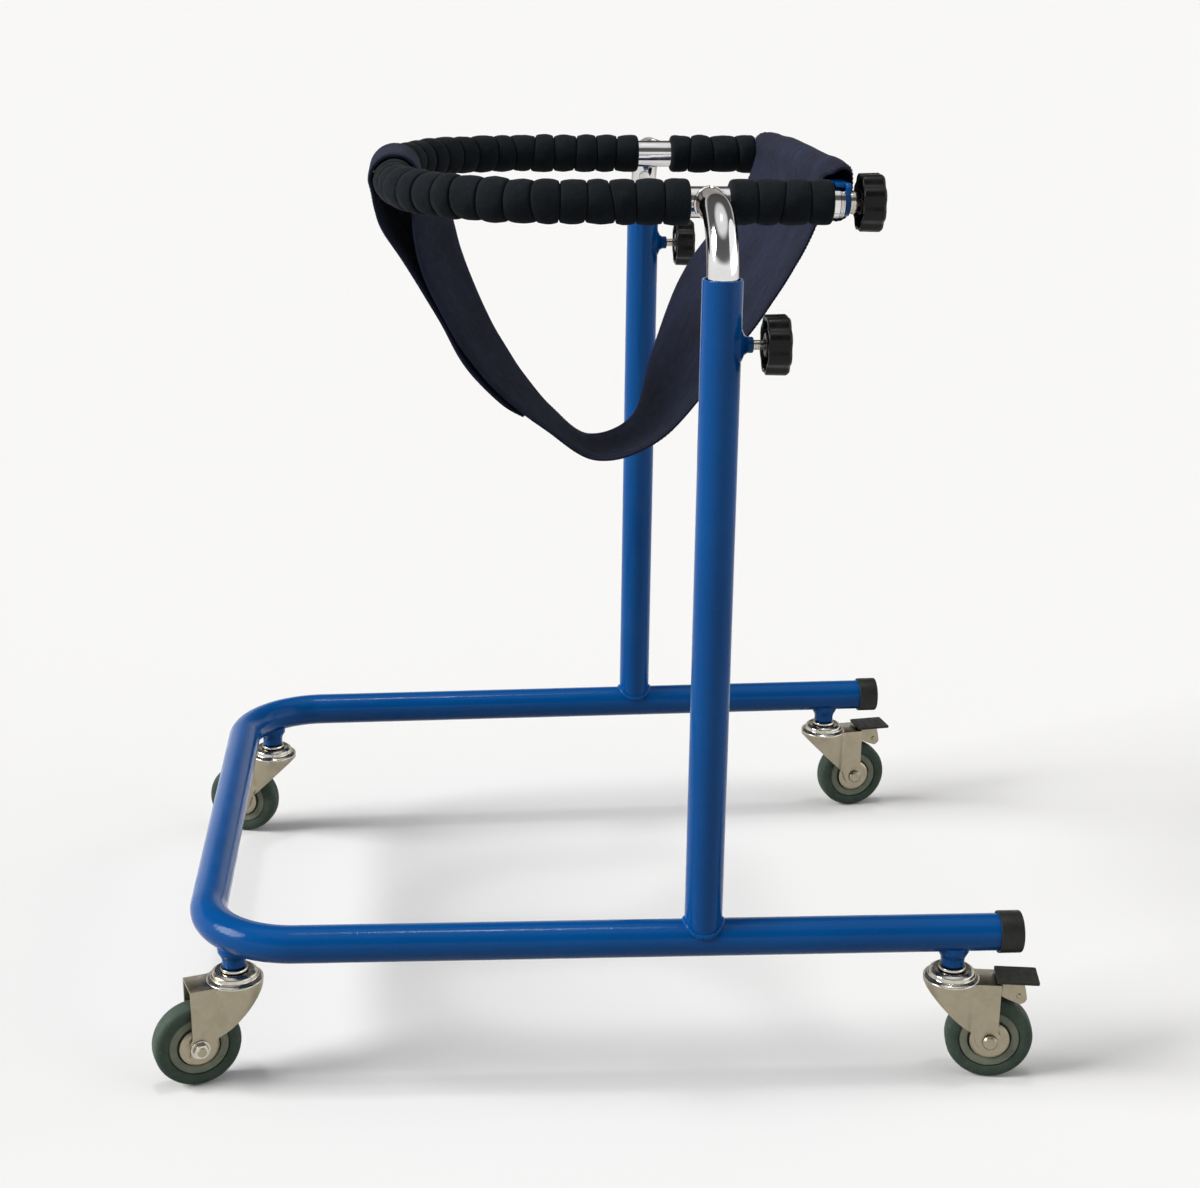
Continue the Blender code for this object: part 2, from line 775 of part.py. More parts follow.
def sling_rows():
    """Rows along the strip: X of the middle, its depth below the ring's centreline, half width,
    how far the right edge leads the left edge along X, and how far the middle bellies out."""
    strap = SLING_STRAP_HALF
    seam_to_ring = [
        (-0.0535, 0.2015, strap, 0.020, 0),
        (-0.0814, 0.1700, strap, 0.030, 0),
        (-0.1147, 0.1100, strap, 0.035, 0),
        (-0.1377, 0.0700, strap, 0.036, 0),
        (-0.1570, 0.0420, strap, 0.034, 0),
        (-0.1725, 0.0250, strap, 0.015, 0),
    ]
    over_ring = arc_rows(RING_FRONT_X, 0, LOOP_RADIUS, 205, -20, [strap] * 9)
    down_to_seat = [
        (-0.1330, 0.0320, strap, 0.030, 0),
        (-0.1246, 0.0700, strap, 0.037, 0),
        (-0.1082, 0.1100, strap, 0.036, 0),
        (-0.0872, 0.1500, strap, 0.032, 0),
        (-0.0582, 0.1900, strap, 0.024, 0),
        (-0.0264, 0.2200, strap, 0.010, 0),
        (0.0130, 0.2470, strap, 0, 0),
    ]
    up_to_bar = [
        (0.0610, 0.2308, strap + 0.004, -0.010, 0.003),
        (0.0930, 0.1768, strap + 0.023, -0.034, 0.008),
        (0.1290, 0.1038, strap + 0.074, -0.036, 0.010),
        (0.1700, 0.0420, SLING_HEM_HALF - 0.012, -0.008, 0.004),
    ]
    top = -HEM_RISE - HEM_HALF_HEIGHT
    foot = -HEM_RISE + HEM_HALF_HEIGHT
    front_ply = [(BAR_X - HEM_RADIUS, foot, SLING_HEM_HALF, 0, 0)]
    over_bar = arc_rows(BAR_X, top, HEM_RADIUS, 180, 0, HEM_HALVES_OVER_BAR)
    under_bar = arc_rows(BAR_X, foot, HEM_RADIUS, 0, -110, [SLING_HEM_HALF] * 4)
    return seam_to_ring + over_ring + down_to_seat + up_to_bar + front_ply + over_bar + under_bar


def smooth_rows(rows, spacing):
    """Rows at about even spacing on a smooth curve through the given rows."""
    dense = []
    for i in range(len(rows) - 1):
        around = [rows[max(i - 1, 0)], rows[i], rows[i + 1], rows[min(i + 2, len(rows) - 1)]]
        before, start, end, after = [Vector(row) for row in around]
        steps = 8
        for k in range(steps):
            t = k / steps
            dense.append(0.5 * (
                2 * start
                + (end - before) * t
                + (2 * before - 5 * start + 4 * end - after) * t ** 2
                + (3 * start - before - 3 * end + after) * t ** 3
            ))
    dense.append(Vector(rows[-1]))
    places = [Vector((row[0], 0, row[1])) for row in dense]
    lengths = [0.0]
    for a, b in zip(places, places[1:]):
        lengths.append(lengths[-1] + (b - a).length)
    count = round(lengths[-1] / spacing)
    chosen = []
    k = 0
    for i in range(count + 1):
        target = lengths[-1] * i / count
        while k < len(dense) - 2 and lengths[k + 1] < target:
            k += 1
        share = (target - lengths[k]) / (lengths[k + 1] - lengths[k])
        chosen.append(dense[k].lerp(dense[k + 1], share))
    return chosen


def sling():
    """One strip of padded cloth: looped over the ring's front, slung low as a seat, and
    widened into a back panel whose hem goes round the rear bar."""
    rows = smooth_rows(sling_rows(), SLING_ROW_SPACING)
    grid = []
    for i, (x, drop, half, lead, belly) in enumerate(rows):
        z = RING_HEIGHT - drop
        after = rows[min(i + 1, len(rows) - 1)]
        before = rows[max(i - 1, 0)]
        along = Vector((after[0] - before[0], 0, before[1] - after[1])).normalized()
        down = Vector((along.z, 0, -along.x))
        line = []
        for k in range(SLING_COLUMNS + 1):
            v = 2 * k / SLING_COLUMNS - 1
            place = Vector((x + v * lead / 2, v * half, z)) + down * belly * (1 - v * v)
            line.append(place)
        grid.append(line)
    bm = bmesh.new()
    verts = [[bm.verts.new(place) for place in line] for line in grid]
    for line, following in zip(verts, verts[1:]):
        for k in range(SLING_COLUMNS):
            bm.faces.new((line[k], line[k + 1], following[k + 1], following[k]))
    bmesh.ops.recalc_face_normals(bm, faces=bm.faces)
    mesh = bpy.data.meshes.new("sling")
    bm.to_mesh(mesh)
    bm.free()
    obj = link("sling", mesh, parts)
    thick = obj.modifiers.new("cloth", "SOLIDIFY")
    thick.thickness = SLING_THICKNESS
    thick.offset = 0.0
    thick.use_even_offset = False
    return finish(obj, navy_fabric(), math.radians(60))


# Casters

def side_profile():
    """The fork's outline from the side: crown, upright rear edge, round eye and raked front."""
    above = FORK_TOP + 0.001
    ahead = -FORK_HEAD_RADIUS - 0.001
    points = [(ahead, above), (FORK_REAR_X, above), (FORK_REAR_X, WHEEL_RADIUS + 0.0095)]
    for i in range(5):
        angle = math.radians(15 - 180 * i / 4)
        x = CASTER_TRAIL + FORK_EYE_RADIUS * math.cos(angle)
        points.append((x, WHEEL_RADIUS + FORK_EYE_RADIUS * math.sin(angle)))
    points += [(0.0205, 0.0440), (ahead, FORK_TOP - 0.0030)]
    return points


def head_outline(inset, rear):
    """The fork's outline from above: a round head that runs into two flat cheeks."""
    half = FORK_HALF_WIDTH - inset
    radius = FORK_HEAD_RADIUS - inset
    start = math.asin(half / radius)
    segments = 12
    points = [(rear, -half), (rear, half)]
    for i in range(segments + 1):
        angle = start + (2 * math.pi - 2 * start) * i / segments
        points.append((radius * math.cos(angle), radius * math.sin(angle)))
    return points


def fork_mesh():
    """A pressed fork: a skirt that is round at the head and flat at the cheeks, its crown, and
    the raised cover of the ball race."""
    stand = Matrix.Rotation(math.radians(90), 4, "X")
    height = 0.07
    middle = FORK_TOP - height / 2
    obj = plate("fork_form", head_outline(0, FORK_REAR_X + 0.002), height, Matrix.Translation((0, 0, middle)))
    inside = Matrix.Translation((0, 0, middle - SHEET))
    hollow = plate("fork_hollow", head_outline(SHEET, FORK_REAR_X + 0.01), height, inside)
    cut(obj, hollow)
    profile = plate("fork_profile", side_profile(), 0.06, stand)
    combine(obj, profile, "INTERSECT")
    bore = outside(PIN_RADIUS, DISC_STEPS)
    cover = [
        (bore, RACE_HEIGHT),
        (RACE_RADIUS - 0.0045, RACE_HEIGHT),
        (RACE_RADIUS - 0.0005, RACE_HEIGHT - 0.0022),
        (RACE_RADIUS, RACE_HEIGHT / 2 + 0.0008),
        (FORK_HEAD_RADIUS - 0.0022, RACE_HEIGHT / 2),
        (FORK_HEAD_RADIUS + 0.0002, RACE_HEIGHT / 4),
        (FORK_HEAD_RADIUS + 0.0002, -0.001),
        (bore, -0.001),
    ]
    race = turned("fork_race", cover, SMALL_STEPS, Matrix.Translation((0, 0, FORK_TOP)), ring=True)
    add(obj, race)
    hole = [(0, 0.003), (bore, 0.003), (bore, -0.01), (0, -0.01)]
    pin_hole = turned("fork_pin_hole", hole, DISC_STEPS, Matrix.Translation((0, 0, FORK_TOP)))
    cut(obj, pin_hole)
    clear = outside(AXLE_RADIUS, BOLT_STEPS)
    eye = [(0, 0.03), (clear, 0.03), (clear, -0.03), (0, -0.03)]
    axle_hole = turned("fork_axle_hole", eye, BOLT_STEPS, along_y(CASTER_TRAIL, 0, WHEEL_RADIUS))
    cut(obj, axle_hole)
    return taken_mesh(settle(obj, hollow, profile, race, pin_hole, axle_hole))


def caster_pin_mesh():
    """The fixed pin that screws into the socket, with a cap over the race."""
    cap = FORK_TOP + RACE_HEIGHT + GAP
    top = RAIL_HEIGHT - TUBE_RADIUS - 0.001
    foot = FORK_TOP - 0.007
    profile = [
        (0, top),
        (PIN_RADIUS, top),
        (PIN_RADIUS, cap + PIN_FLANGE_HEIGHT),
        (PIN_FLANGE_RADIUS, cap + PIN_FLANGE_HEIGHT),
        (PIN_FLANGE_RADIUS, cap),
        (PIN_RADIUS, cap),
        (PIN_RADIUS, foot),
        (0, foot),
    ]
    return taken_mesh(turned("pin_form", profile, DISC_STEPS))


def wheel_ring(name, side):
    """A ring turned on the wheel's axle, from the profile of its +Y half, with flats below."""
    profile = side + [(radius, -height) for radius, height in reversed(side)]
    return taken_mesh(turned(name, profile, WHEEL_STEPS, ring=True), along_y(0, 0, 0, math.pi / WHEEL_STEPS))


def tyre_mesh():
    """A rubber tyre with a flat tread and rounded shoulders."""
    half = TYRE_WIDTH / 2
    tread = WHEEL_RADIUS / math.cos(math.pi / WHEEL_STEPS)
    side = [
        (outside(TYRE_SEAT_RADIUS, WHEEL_STEPS), half),
        (tread - 0.0055, half),
        (tread - 0.0013, half - 0.0013),
        (tread, half - 0.0045),
    ]
    return wheel_ring("tyre_form", side)


def rim_mesh():
    """A plastic wheel body: hub, recessed web and the seat of the tyre."""
    hub = HUB_LENGTH / 2
    edge = TYRE_WIDTH / 2 - 0.0012
    side = [
        (RIM_BORE_RADIUS, hub),
        (0.0085, hub),
        (0.0105, 0.0040),
        (RIM_STEP_RADIUS, edge),
        (TYRE_SEAT_RADIUS, edge),
    ]
    return wheel_ring("rim_form", side)


def axle_mesh():
    """The axle bolt with its domed head, nut and the two dust covers that it clamps."""
    inner = FORK_HALF_WIDTH - SHEET - GAP
    outer = FORK_HALF_WIDTH + GAP
    cover = DUST_COVER_RADIUS
    thin = DUST_COVER_THICKNESS
    bolt = [
        (0, outer + 0.0065),
        (AXLE_RADIUS, outer + 0.0065),
        (AXLE_RADIUS, inner),
        (cover, inner),
        (cover, inner - thin),
        (AXLE_RADIUS, inner - thin),
        (AXLE_RADIUS, thin - inner),
        (cover, thin - inner),
        (cover, -inner),
        (AXLE_RADIUS, -inner),
        (AXLE_RADIUS, -outer),
        (0.0062, -outer),
        (0.0048, -outer - 0.0027),
        (0, -outer - 0.0035),
    ]
    obj = turned("axle_form", bolt, DISC_STEPS)
    nut = [(0, outer + 0.0045), (0.0068, outer + 0.0045), (0.0068, outer), (0, outer)]
    hexagon = turned("nut_form", nut, 6)
    add(obj, hexagon)
    return taken_mesh(settle(obj, hexagon), along_y(0, 0, 0))


def lever_mesh():
    """The steel brake lever: a pin across the fork, a flat arm and a shoe over the tyre."""
    px, pz = LEVER_PIVOT.x, LEVER_PIVOT.z
    arm_top = PEDAL_TOP - PEDAL_THICKNESS - GAP
    outline = [
        (px - 0.0010, pz - 0.0013),
        (0.0470, 0.0767),
        (0.0540, 0.0738),
        (0.0595, 0.0722),
        (LEVER_END_X, 0.0740),
        (LEVER_END_X + 0.0015, arm_top - 0.0045),
        (LEVER_END_X, arm_top),
        (FORK_REAR_X + 0.0015, arm_top),
        (FORK_REAR_X + 0.0010, pz + 0.0030),
        (px - 0.0010, pz + 0.0013),
    ]
    stand = Matrix.Rotation(math.radians(90), 4, "X")
    obj = plate("lever_form", outline, 2 * LEVER_HALF_WIDTH, stand)
    inner = FORK_HALF_WIDTH - SHEET - GAP
    pin = [(0, inner), (0.0018, inner), (0.0018, -inner), (0, -inner)]
    rod = turned("lever_pin", pin, 8, along_y(px, 0, pz))
    add(obj, rod)
    return taken_mesh(settle(obj, rod), Matrix.Translation(-LEVER_PIVOT))


def pedal_mesh():
    """The flat black foot plate on top of the lever."""
    outline = [
        (PEDAL_START_X, -PEDAL_HALF_WIDTH),
        (PEDAL_END_X - 0.001, -PEDAL_HALF_WIDTH),
        (PEDAL_END_X, 0.001 - PEDAL_HALF_WIDTH),
        (PEDAL_END_X, PEDAL_HALF_WIDTH - 0.001),
        (PEDAL_END_X - 0.001, PEDAL_HALF_WIDTH),
        (PEDAL_START_X, PEDAL_HALF_WIDTH),
    ]
    middle = PEDAL_TOP - PEDAL_THICKNESS / 2
    obj = plate("pedal_form", outline, PEDAL_THICKNESS, Matrix.Translation((0, 0, middle)), 0.0005)
    return taken_mesh(obj, Matrix.Translation(-LEVER_PIVOT))


def caster(word, place, meshes, brake):
    """Places one caster's pieces under their swivel, axle and brake axes."""
    swivel = empty("swivel_axis_" + word, place)
    hub = empty("wheel_axis_" + word, Matrix.Translation((CASTER_TRAIL, 0, WHEEL_RADIUS)), swivel)
    finish(link("caster_pin_" + word, meshes["pin"], parts, place), zinc())
    pieces = [
        ("fork_", "fork", zinc(), swivel),
        ("axle_", "axle", zinc(), hub),
        ("rim_", "rim", grey_plastic(), hub),
        ("tyre_", "tyre", grey_rubber(), hub),
    ]
    if brake:
        pivot = empty("brake_axis_" + word, Matrix.Translation(LEVER_PIVOT), swivel)
        pieces += [
            ("brake_lever_", "lever", zinc(), pivot),
            ("brake_pedal_", "pedal", black_plastic(), pivot),
        ]
    for prefix, key, surface, parent in pieces:
        obj = link(prefix + word, meshes[key], parts)
        finish(obj, surface)
        obj.parent = parent


def casters():
    meshes = {
        "pin": caster_pin_mesh(),
        "fork": fork_mesh(),
        "axle": axle_mesh(),
        "rim": rim_mesh(),
        "tyre": tyre_mesh(),
        "lever": lever_mesh(),
        "pedal": pedal_mesh(),
    }
    for word, side in SIDES.items():
        rear = Matrix.Translation((REAR_SWIVEL_X, side * REAR_SWIVEL_Y, 0))
        caster("rear_" + word, rear @ Matrix.Rotation(side * REAR_TURN, 4, "Z"), meshes, True)
        front = Matrix.Translation((FRONT_SWIVEL_X, side * FRONT_SWIVEL_Y, 0))
        caster("front_" + word, front @ Matrix.Rotation(side * FRONT_TURN, 4, "Z"), meshes, False)


def main():
    global parts, cutters
    clear_scene()
    parts = new_collection("underarm_walker")
    cutters = new_collection("cutters")

    base_tube()
    cope = base_cope()
    for word, side in SIDES.items():
        upright(word, side, cope)
        end_cap(word, side)
        socket("rear_" + word, REAR_SWIVEL_X, side * REAR_SWIVEL_Y, cope)
        socket("front_" + word, FRONT_SWIVEL_X, side * FRONT_SWIVEL_Y, cope)
    casters()

    slide = empty("ring_slide", Matrix.Translation((UPRIGHT_X, 0, UPRIGHT_TOP)))
    bpy.context.view_layer.update()
    ring_pieces = [ring_tube(), foam_front(), rear_bar(), pivot_bolt(), sling()]
    for word, side in SIDES.items():
        ring_pieces += [stem(word, side), stem_plug(word, side), foam_rear(word, side), arm_insert(word, side)]
    for piece in ring_pieces:
        hang(piece, slide)

    mesh = knob_mesh()
    for word, side in SIDES.items():
        tip = UPRIGHT_X + STEM_RADIUS + GAP
        start = UPRIGHT_X + TUBE_RADIUS + CLAMP_KNOB_START
        screw_and_knob("clamp_", "_" + word, tip, start, side * UPRIGHT_Y, CLAMP_HEIGHT, mesh)
    tip = RING_END_X - BAR_STUD_IN_ARM
    lug_face = LUG_START + LUG_THICKNESS
    start = lug_face + BAR_KNOB_START
    collar = (lug_face + GAP - tip, lug_face + GAP + BAR_COLLAR - tip)
    hang(screw_and_knob("bar_", "", tip, start, -RING_HALF_WIDTH, RING_HEIGHT, mesh, collar), slide)


main()
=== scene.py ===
"""Looks of a child's underarm walker, built round its fixed frame.

Metres, +Z up. The user stands between the rails and faces -X; left is -Y and right is +Y.
The tubes, casters, knobs and soft parts are made again here at full fineness, each in the
place of its plain solid, and every surface gets a finish with its own grain and wear.
"""

import json
import random
from math import atan, atan2, cos, degrees, exp, pi, radians, sin, sqrt, tan

import bmesh
import bpy
from mathutils import Matrix, Vector, noise


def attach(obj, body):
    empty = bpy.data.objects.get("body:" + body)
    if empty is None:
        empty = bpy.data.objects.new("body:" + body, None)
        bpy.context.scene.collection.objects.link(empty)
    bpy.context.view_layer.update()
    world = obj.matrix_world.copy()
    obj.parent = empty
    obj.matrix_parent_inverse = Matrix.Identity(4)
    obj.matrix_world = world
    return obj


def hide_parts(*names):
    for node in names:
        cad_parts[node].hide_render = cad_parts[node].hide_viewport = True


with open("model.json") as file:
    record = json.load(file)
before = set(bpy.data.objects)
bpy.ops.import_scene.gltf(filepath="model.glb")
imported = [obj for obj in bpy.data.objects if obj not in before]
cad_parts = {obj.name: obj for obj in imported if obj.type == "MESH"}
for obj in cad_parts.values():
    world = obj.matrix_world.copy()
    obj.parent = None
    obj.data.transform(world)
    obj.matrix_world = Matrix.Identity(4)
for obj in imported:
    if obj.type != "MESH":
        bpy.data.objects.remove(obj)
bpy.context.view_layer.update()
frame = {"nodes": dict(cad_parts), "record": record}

# Base and uprights
GAP = 0.0003
TUBE_RADIUS = 0.016
TUBE_WALL = 0.002
TUBE_SIDES = 56
RAIL_HEIGHT = 0.1330
CROSS_X = -0.333
RAIL_END_X = 0.3577
HALF_WIDTH_FRONT = 0.2758
RAIL_SPLAY = 0.0231
BASE_BEND_RADIUS = 0.080
CAP_LENGTH = 0.020
CAP_RADIUS = 0.0181
CAP_END_WALL = 0.003
UPRIGHT_X = 0.088
UPRIGHT_TOP = 0.6905
OPEN_DEPTH = 0.060
FOOT_RISE = 0.0075
FOOT_WELD_RADIUS = 0.0023
CLAMP_HEIGHT = 0.6395
BOSS_LENGTH = 0.009
BOSS_BORE = 0.0045
SCREW_RADIUS = 0.004
SCREW_PITCH = 0.00125

# Ring
STEM_RADIUS = 0.0125
STEM_BEND_RADIUS = 0.050
STEM_BOTTOM = 0.3335
STEM_WELD_RADIUS = 0.0013
RING_HEIGHT = 0.7383
RING_HALF_WIDTH = 0.198
RING_FRONT_X = -0.163
RING_BEND_RADIUS = 0.140
RING_END_X = 0.1925
INSERT_FLANGE = 0.0037
INSERT_RADIUS = 0.0122
INSERT_RIDGES = 3
FOAM_CREST_RADIUS = 0.0184
FOAM_CREASE = 0.0026
FOAM_TILT = 0.0028
FOAM_BORE_RADIUS = 0.0129
FOAM_PITCH = 0.021
FOAM_GAP_HALF = 0.0157
FOAM_REAR_RIBS = 4
BAR_X = 0.1965
BAR_RADIUS = 0.009
BAR_HALF_LENGTH = 0.173
LUG_THICKNESS = 0.004
LUG_RADIUS = 0.011
LUG_HOLE = 0.0045
LUG_FACE = RING_END_X + INSERT_FLANGE + 2 * GAP + LUG_THICKNESS

# Knobs
KNOB_RADIUS = 0.024
KNOB_LOBES = 8
KNOB_SCALLOP = 0.0022
KNOB_THICKNESS = 0.0185
KNOB_HUB_RADIUS = 0.0095
KNOB_SEAT = 0.0085
CLAMP_KNOB_X = UPRIGHT_X + TUBE_RADIUS + 0.018
BAR_KNOB_X = LUG_FACE + 0.0085
BAR_STUD_TIP_X = 0.1880
BAR_COLLAR = 0.0065

# Casters, in their own frames: the floor under the swivel, with the wheel towards +X
REAR_SWIVEL_X = 0.304
FRONT_SWIVEL_X = -0.3081
REAR_TURN = 9
FRONT_TURN = 162
CASTER_TRAIL = 0.035
WHEEL_RADIUS = 0.0375
TYRE_WIDTH = 0.020
TYRE_SEAT_RADIUS = 0.0262
SHEET = 0.0022
FORK_HALF_WIDTH = 0.0150
FORK_HEAD_RADIUS = 0.0240
FORK_BLEND = 0.010
FORK_TOP = 0.0920
FORK_REAR_X = 0.0415
FORK_EYE_RADIUS = 0.0115
AXLE_RADIUS = 0.0040
AXLE_HOLE = 0.0043
COVER_RADIUS = 0.0172
RACE_HEIGHT = 0.0080
SOCKET_BOTTOM = 0.1035
LEVER_PIVOT = Vector((0.0372, 0.0, 0.0837))
LEVER_TOP = 0.0929
LEVER_HALF_WIDTH = 0.0090
PEDAL_TOP = 0.0957
PEDAL_THICKNESS = 0.0024

# Sling
STRAP_HALF = 0.050
HEM_HALF = 0.172
LOOP_RADIUS = 0.0213
HEM_RADIUS = 0.0118
HEM_HALF_HEIGHT = 0.0107
HEM_RISE = 0.005
HEM_DROOP = 0.0075
HEM_HALVES_OVER_BAR = (0.172, 0.196, 0.198, 0.192, 0.178, 0.172)
CLOTH_EDGE = 0.0018
CLOTH_PAD = 0.0040
CLOTH_PERIOD = 0.0011
ROW_SPACING = 0.0035
COLUMNS = 44
SEAM_ROWS = 7
STITCH_INSET = 0.0065
STITCH_SPACING = 0.0035

UP = Vector((0, 0, 1))
SIDES = {"left": -1, "right": 1}


def rail_half_width(x):
    """Distance of a rail's centreline from the middle plane, where the walker is x along."""
    return HALF_WIDTH_FRONT + RAIL_SPLAY * (x - CROSS_X)


UPRIGHT_Y = rail_half_width(UPRIGHT_X)
REAR_SWIVEL_Y = rail_half_width(REAR_SWIVEL_X)
bend_cosine = (CROSS_X + BASE_BEND_RADIUS - FRONT_SWIVEL_X) / BASE_BEND_RADIUS
FRONT_SWIVEL_Y = HALF_WIDTH_FRONT - BASE_BEND_RADIUS * (1 - sqrt(1 - bend_cosine ** 2))


# Finishes

def add_node(tree, kind, links=(), **settings):
    """Adds a node; links gives each input's name or number and its value or source."""
    made = tree.nodes.new(kind)
    for name, value in settings.items():
        setattr(made, name, value)
    for name, value in dict(links).items():
        if isinstance(value, bpy.types.NodeSocket):
            tree.links.new(value, made.inputs[name])
        else:
            made.inputs[name].default_value = value
    return made


class Surface:
    """A material whose textures are laid out in metres on the piece itself."""

    def __init__(self, slot, colour, roughness, metallic=0.0, space="Object", **constants):
        self.slot = slot
        self.material = bpy.data.materials.new(slot + "_finish")
        self.material.use_nodes = True
        self.tree = self.material.node_tree
        self.inputs = self.tree.nodes["Principled BSDF"].inputs
        self.colour = (*colour, 1)
        self.normal = None
        self.place = self.node("ShaderNodeTexCoord").outputs[space]
        constants.update(base_color=self.colour, roughness=roughness, metallic=metallic)
        for socket, value in constants.items():
            name = socket.replace("_", " ").title().replace("Ior", "IOR")
            self.inputs[name].default_value = value

    def node(self, kind, links=(), **settings):
        return add_node(self.tree, kind, links, **settings)

    def clouds(self, size, detail, stretch=(1, 1, 1)):
        """Cloudy values round 0.5, with features of about this size."""
        place = self.node("ShaderNodeMapping", {"Vector": self.place, "Scale": stretch})
        links = {"Vector": place.outputs["Vector"], "Scale": 1 / size, "Detail": detail}
        return self.node("ShaderNodeTexNoise", links).outputs["Fac"]

    def cells(self, size):
        """Distance inside cells of about this size, as a share of the size."""
        links = {"Vector": self.place, "Scale": 1 / size}
        return self.node("ShaderNodeTexVoronoi", links).outputs["Distance"]

    def bands(self, period, direction):
        """Smooth bands from 0 to 1 across one direction, X, Y or Z."""
        links = {"Vector": self.place, "Scale": pi / 10 / period}
        return self.node("ShaderNodeTexWave", links, bands_direction=direction).outputs["Fac"]

    def between(self, value, low, high, to_low, to_high):
        """Maps low..high to to_low..to_high, and stops at both ends."""
        links = {"Value": value, "From Min": low, "From Max": high,
                 "To Min": to_low, "To Max": to_high}
        return self.node("ShaderNodeMapRange", links).outputs["Result"]

    def maths(self, operation, a, b):
        return self.node("ShaderNodeMath", {0: a, 1: b}, operation=operation).outputs[0]

    def tint(self, mask, colour):
        """Lays another colour over the base colour where the mask is 1."""
        links = {0: mask, 6: self.colour, 7: (*colour, 1)}
        self.colour = self.node("ShaderNodeMix", links, data_type="RGBA").outputs[2]
        self.tree.links.new(self.colour, self.inputs["Base Color"])

    def patches(self, size, detail, low, high, colour, most=1.0, stretch=(1, 1, 1)):
        """Tints the clouds of a size, from nothing at a low value to the most at a high one."""
        clouds = self.clouds(size, detail, stretch)
        self.tint(self.between(clouds, low, high, 0.0, most), colour)

    def worn(self, size, detail, low, high, smooth, dull):
        """Lets the roughness run from smooth to dull in clouds of a size."""
        value = self.between(self.clouds(size, detail), low, high, smooth, dull)
        self.tree.links.new(value, self.inputs["Roughness"])

    def raised(self, height, depth):
        """Adds a relief this many metres deep to the surface."""
        links = {"Height": height, "Distance": depth, "Strength": 1.0}
        if self.normal:
            links["Normal"] = self.normal
        self.normal = self.node("ShaderNodeBump", links).outputs["Normal"]
        self.tree.links.new(self.normal, self.inputs["Normal"])


def blue_paint():
    """Powder coat: orange peel, faint shade changes, dust and a few small chips."""
    s = Surface("blue_paint", (0.0008, 0.087, 0.320), 0.16, specular_ior_level=0.14)
    s.patches(0.11, 3, 0.35, 0.7, (0.0008, 0.074, 0.280))
    s.patches(0.004, 4, 0.60, 0.75, (0.008, 0.11, 0.33), 0.30)
    s.patches(0.0016, 2, 0.735, 0.76, (0.06, 0.09, 0.12), 0.7)
    s.worn(0.02, 4, 0.35, 0.7, 0.12, 0.24)
    s.raised(s.clouds(0.0028, 1), 0.00010)
    return s


def chrome():
    """Bright chrome, with faint smudges and fine lengthwise scratches."""
    s = Surface("chrome", (0.80, 0.80, 0.81), 0.08, 1.0, specular_tint=(0.35, 0.32, 0.30, 1))
    s.patches(0.03, 3, 0.42, 0.72, (0.62, 0.58, 0.53), 0.6)
    s.worn(0.012, 5, 0.4, 0.75, 0.05, 0.17)
    s.raised(s.clouds(0.02, 1), 0.00035)
    s.raised(s.clouds(0.0007, 2, (1, 1, 0.05)), 0.000005)
    return s


def zinc():
    """Zinc plate on pressed steel: warm, with a rolled grain, faint clouds and small stains."""
    s = Surface("zinc", (0.34, 0.300, 0.215), 0.32, 1.0)
    s.patches(0.010, 3, 0.4, 0.7, (0.29, 0.250, 0.175), 0.6)
    s.tint(s.between(s.cells(0.0022), 0.1, 0.8, 0.0, 0.15), (0.42, 0.38, 0.30))
    s.patches(0.0035, 5, 0.69, 0.76, (0.17, 0.12, 0.07), 0.5)
    s.worn(0.005, 5, 0.3, 0.7, 0.26, 0.42)
    s.raised(s.clouds(0.0009, 3, (1, 1, 0.12)), 0.00002)
    return s


def bright_zinc():
    """The same plate where it is turned or drawn smooth, which shines more."""
    s = Surface("zinc", (0.60, 0.575, 0.51), 0.18, 1.0, specular_tint=(0.4, 0.37, 0.33, 1))
    s.patches(0.006, 4, 0.45, 0.7, (0.46, 0.42, 0.35), 0.7)
    s.patches(0.003, 5, 0.68, 0.75, (0.22, 0.15, 0.10), 0.6)
    s.worn(0.004, 5, 0.35, 0.7, 0.12, 0.32)
    s.raised(s.clouds(0.0006, 3), 0.000012)
    return s


def black_plastic():
    """Moulded plastic with a fine leather grain, worn a little greyer in patches."""
    s = Surface("black_plastic", (0.0045, 0.0048, 0.0043), 0.34, specular_ior_level=0.2)
    s.patches(0.012, 4, 0.45, 0.75, (0.009, 0.010, 0.0085), 0.7)
    s.patches(0.0018, 4, 0.70, 0.76, (0.045, 0.043, 0.038), 0.5)
    s.worn(0.006, 4, 0.35, 0.7, 0.24, 0.46)
    s.raised(s.cells(0.0009), 0.00004)
    return s


def foam():
    """Foam rubber: a matte skin of fine pores, whose pits are darkened with painted shade, with
    pressed, paler patches.
    """
    s = Surface("black_foam", (0.0085, 0.0120, 0.0150), 0.92, specular_ior_level=0.1,
                sheen_weight=0.02, sheen_roughness=0.6)
    s.patches(0.03, 4, 0.38, 0.72, (0.0120, 0.0160, 0.0205), 0.8)
    # Darker at the middle of each pore cell, where the bump below sinks a pit: painted shade in
    # the pores.
    s.tint(s.between(s.cells(0.0011), 0.25, 0.75, 0.45, 0.0), (0.003, 0.0042, 0.005))
    s.patches(0.0022, 3, 0.64, 0.74, (0.026, 0.031, 0.037), 0.3)
    s.worn(0.01, 3, 0.3, 0.7, 0.85, 0.98)
    s.raised(s.cells(0.0011), 0.00012)
    s.raised(s.clouds(0.007, 2), 0.0006)
    return s


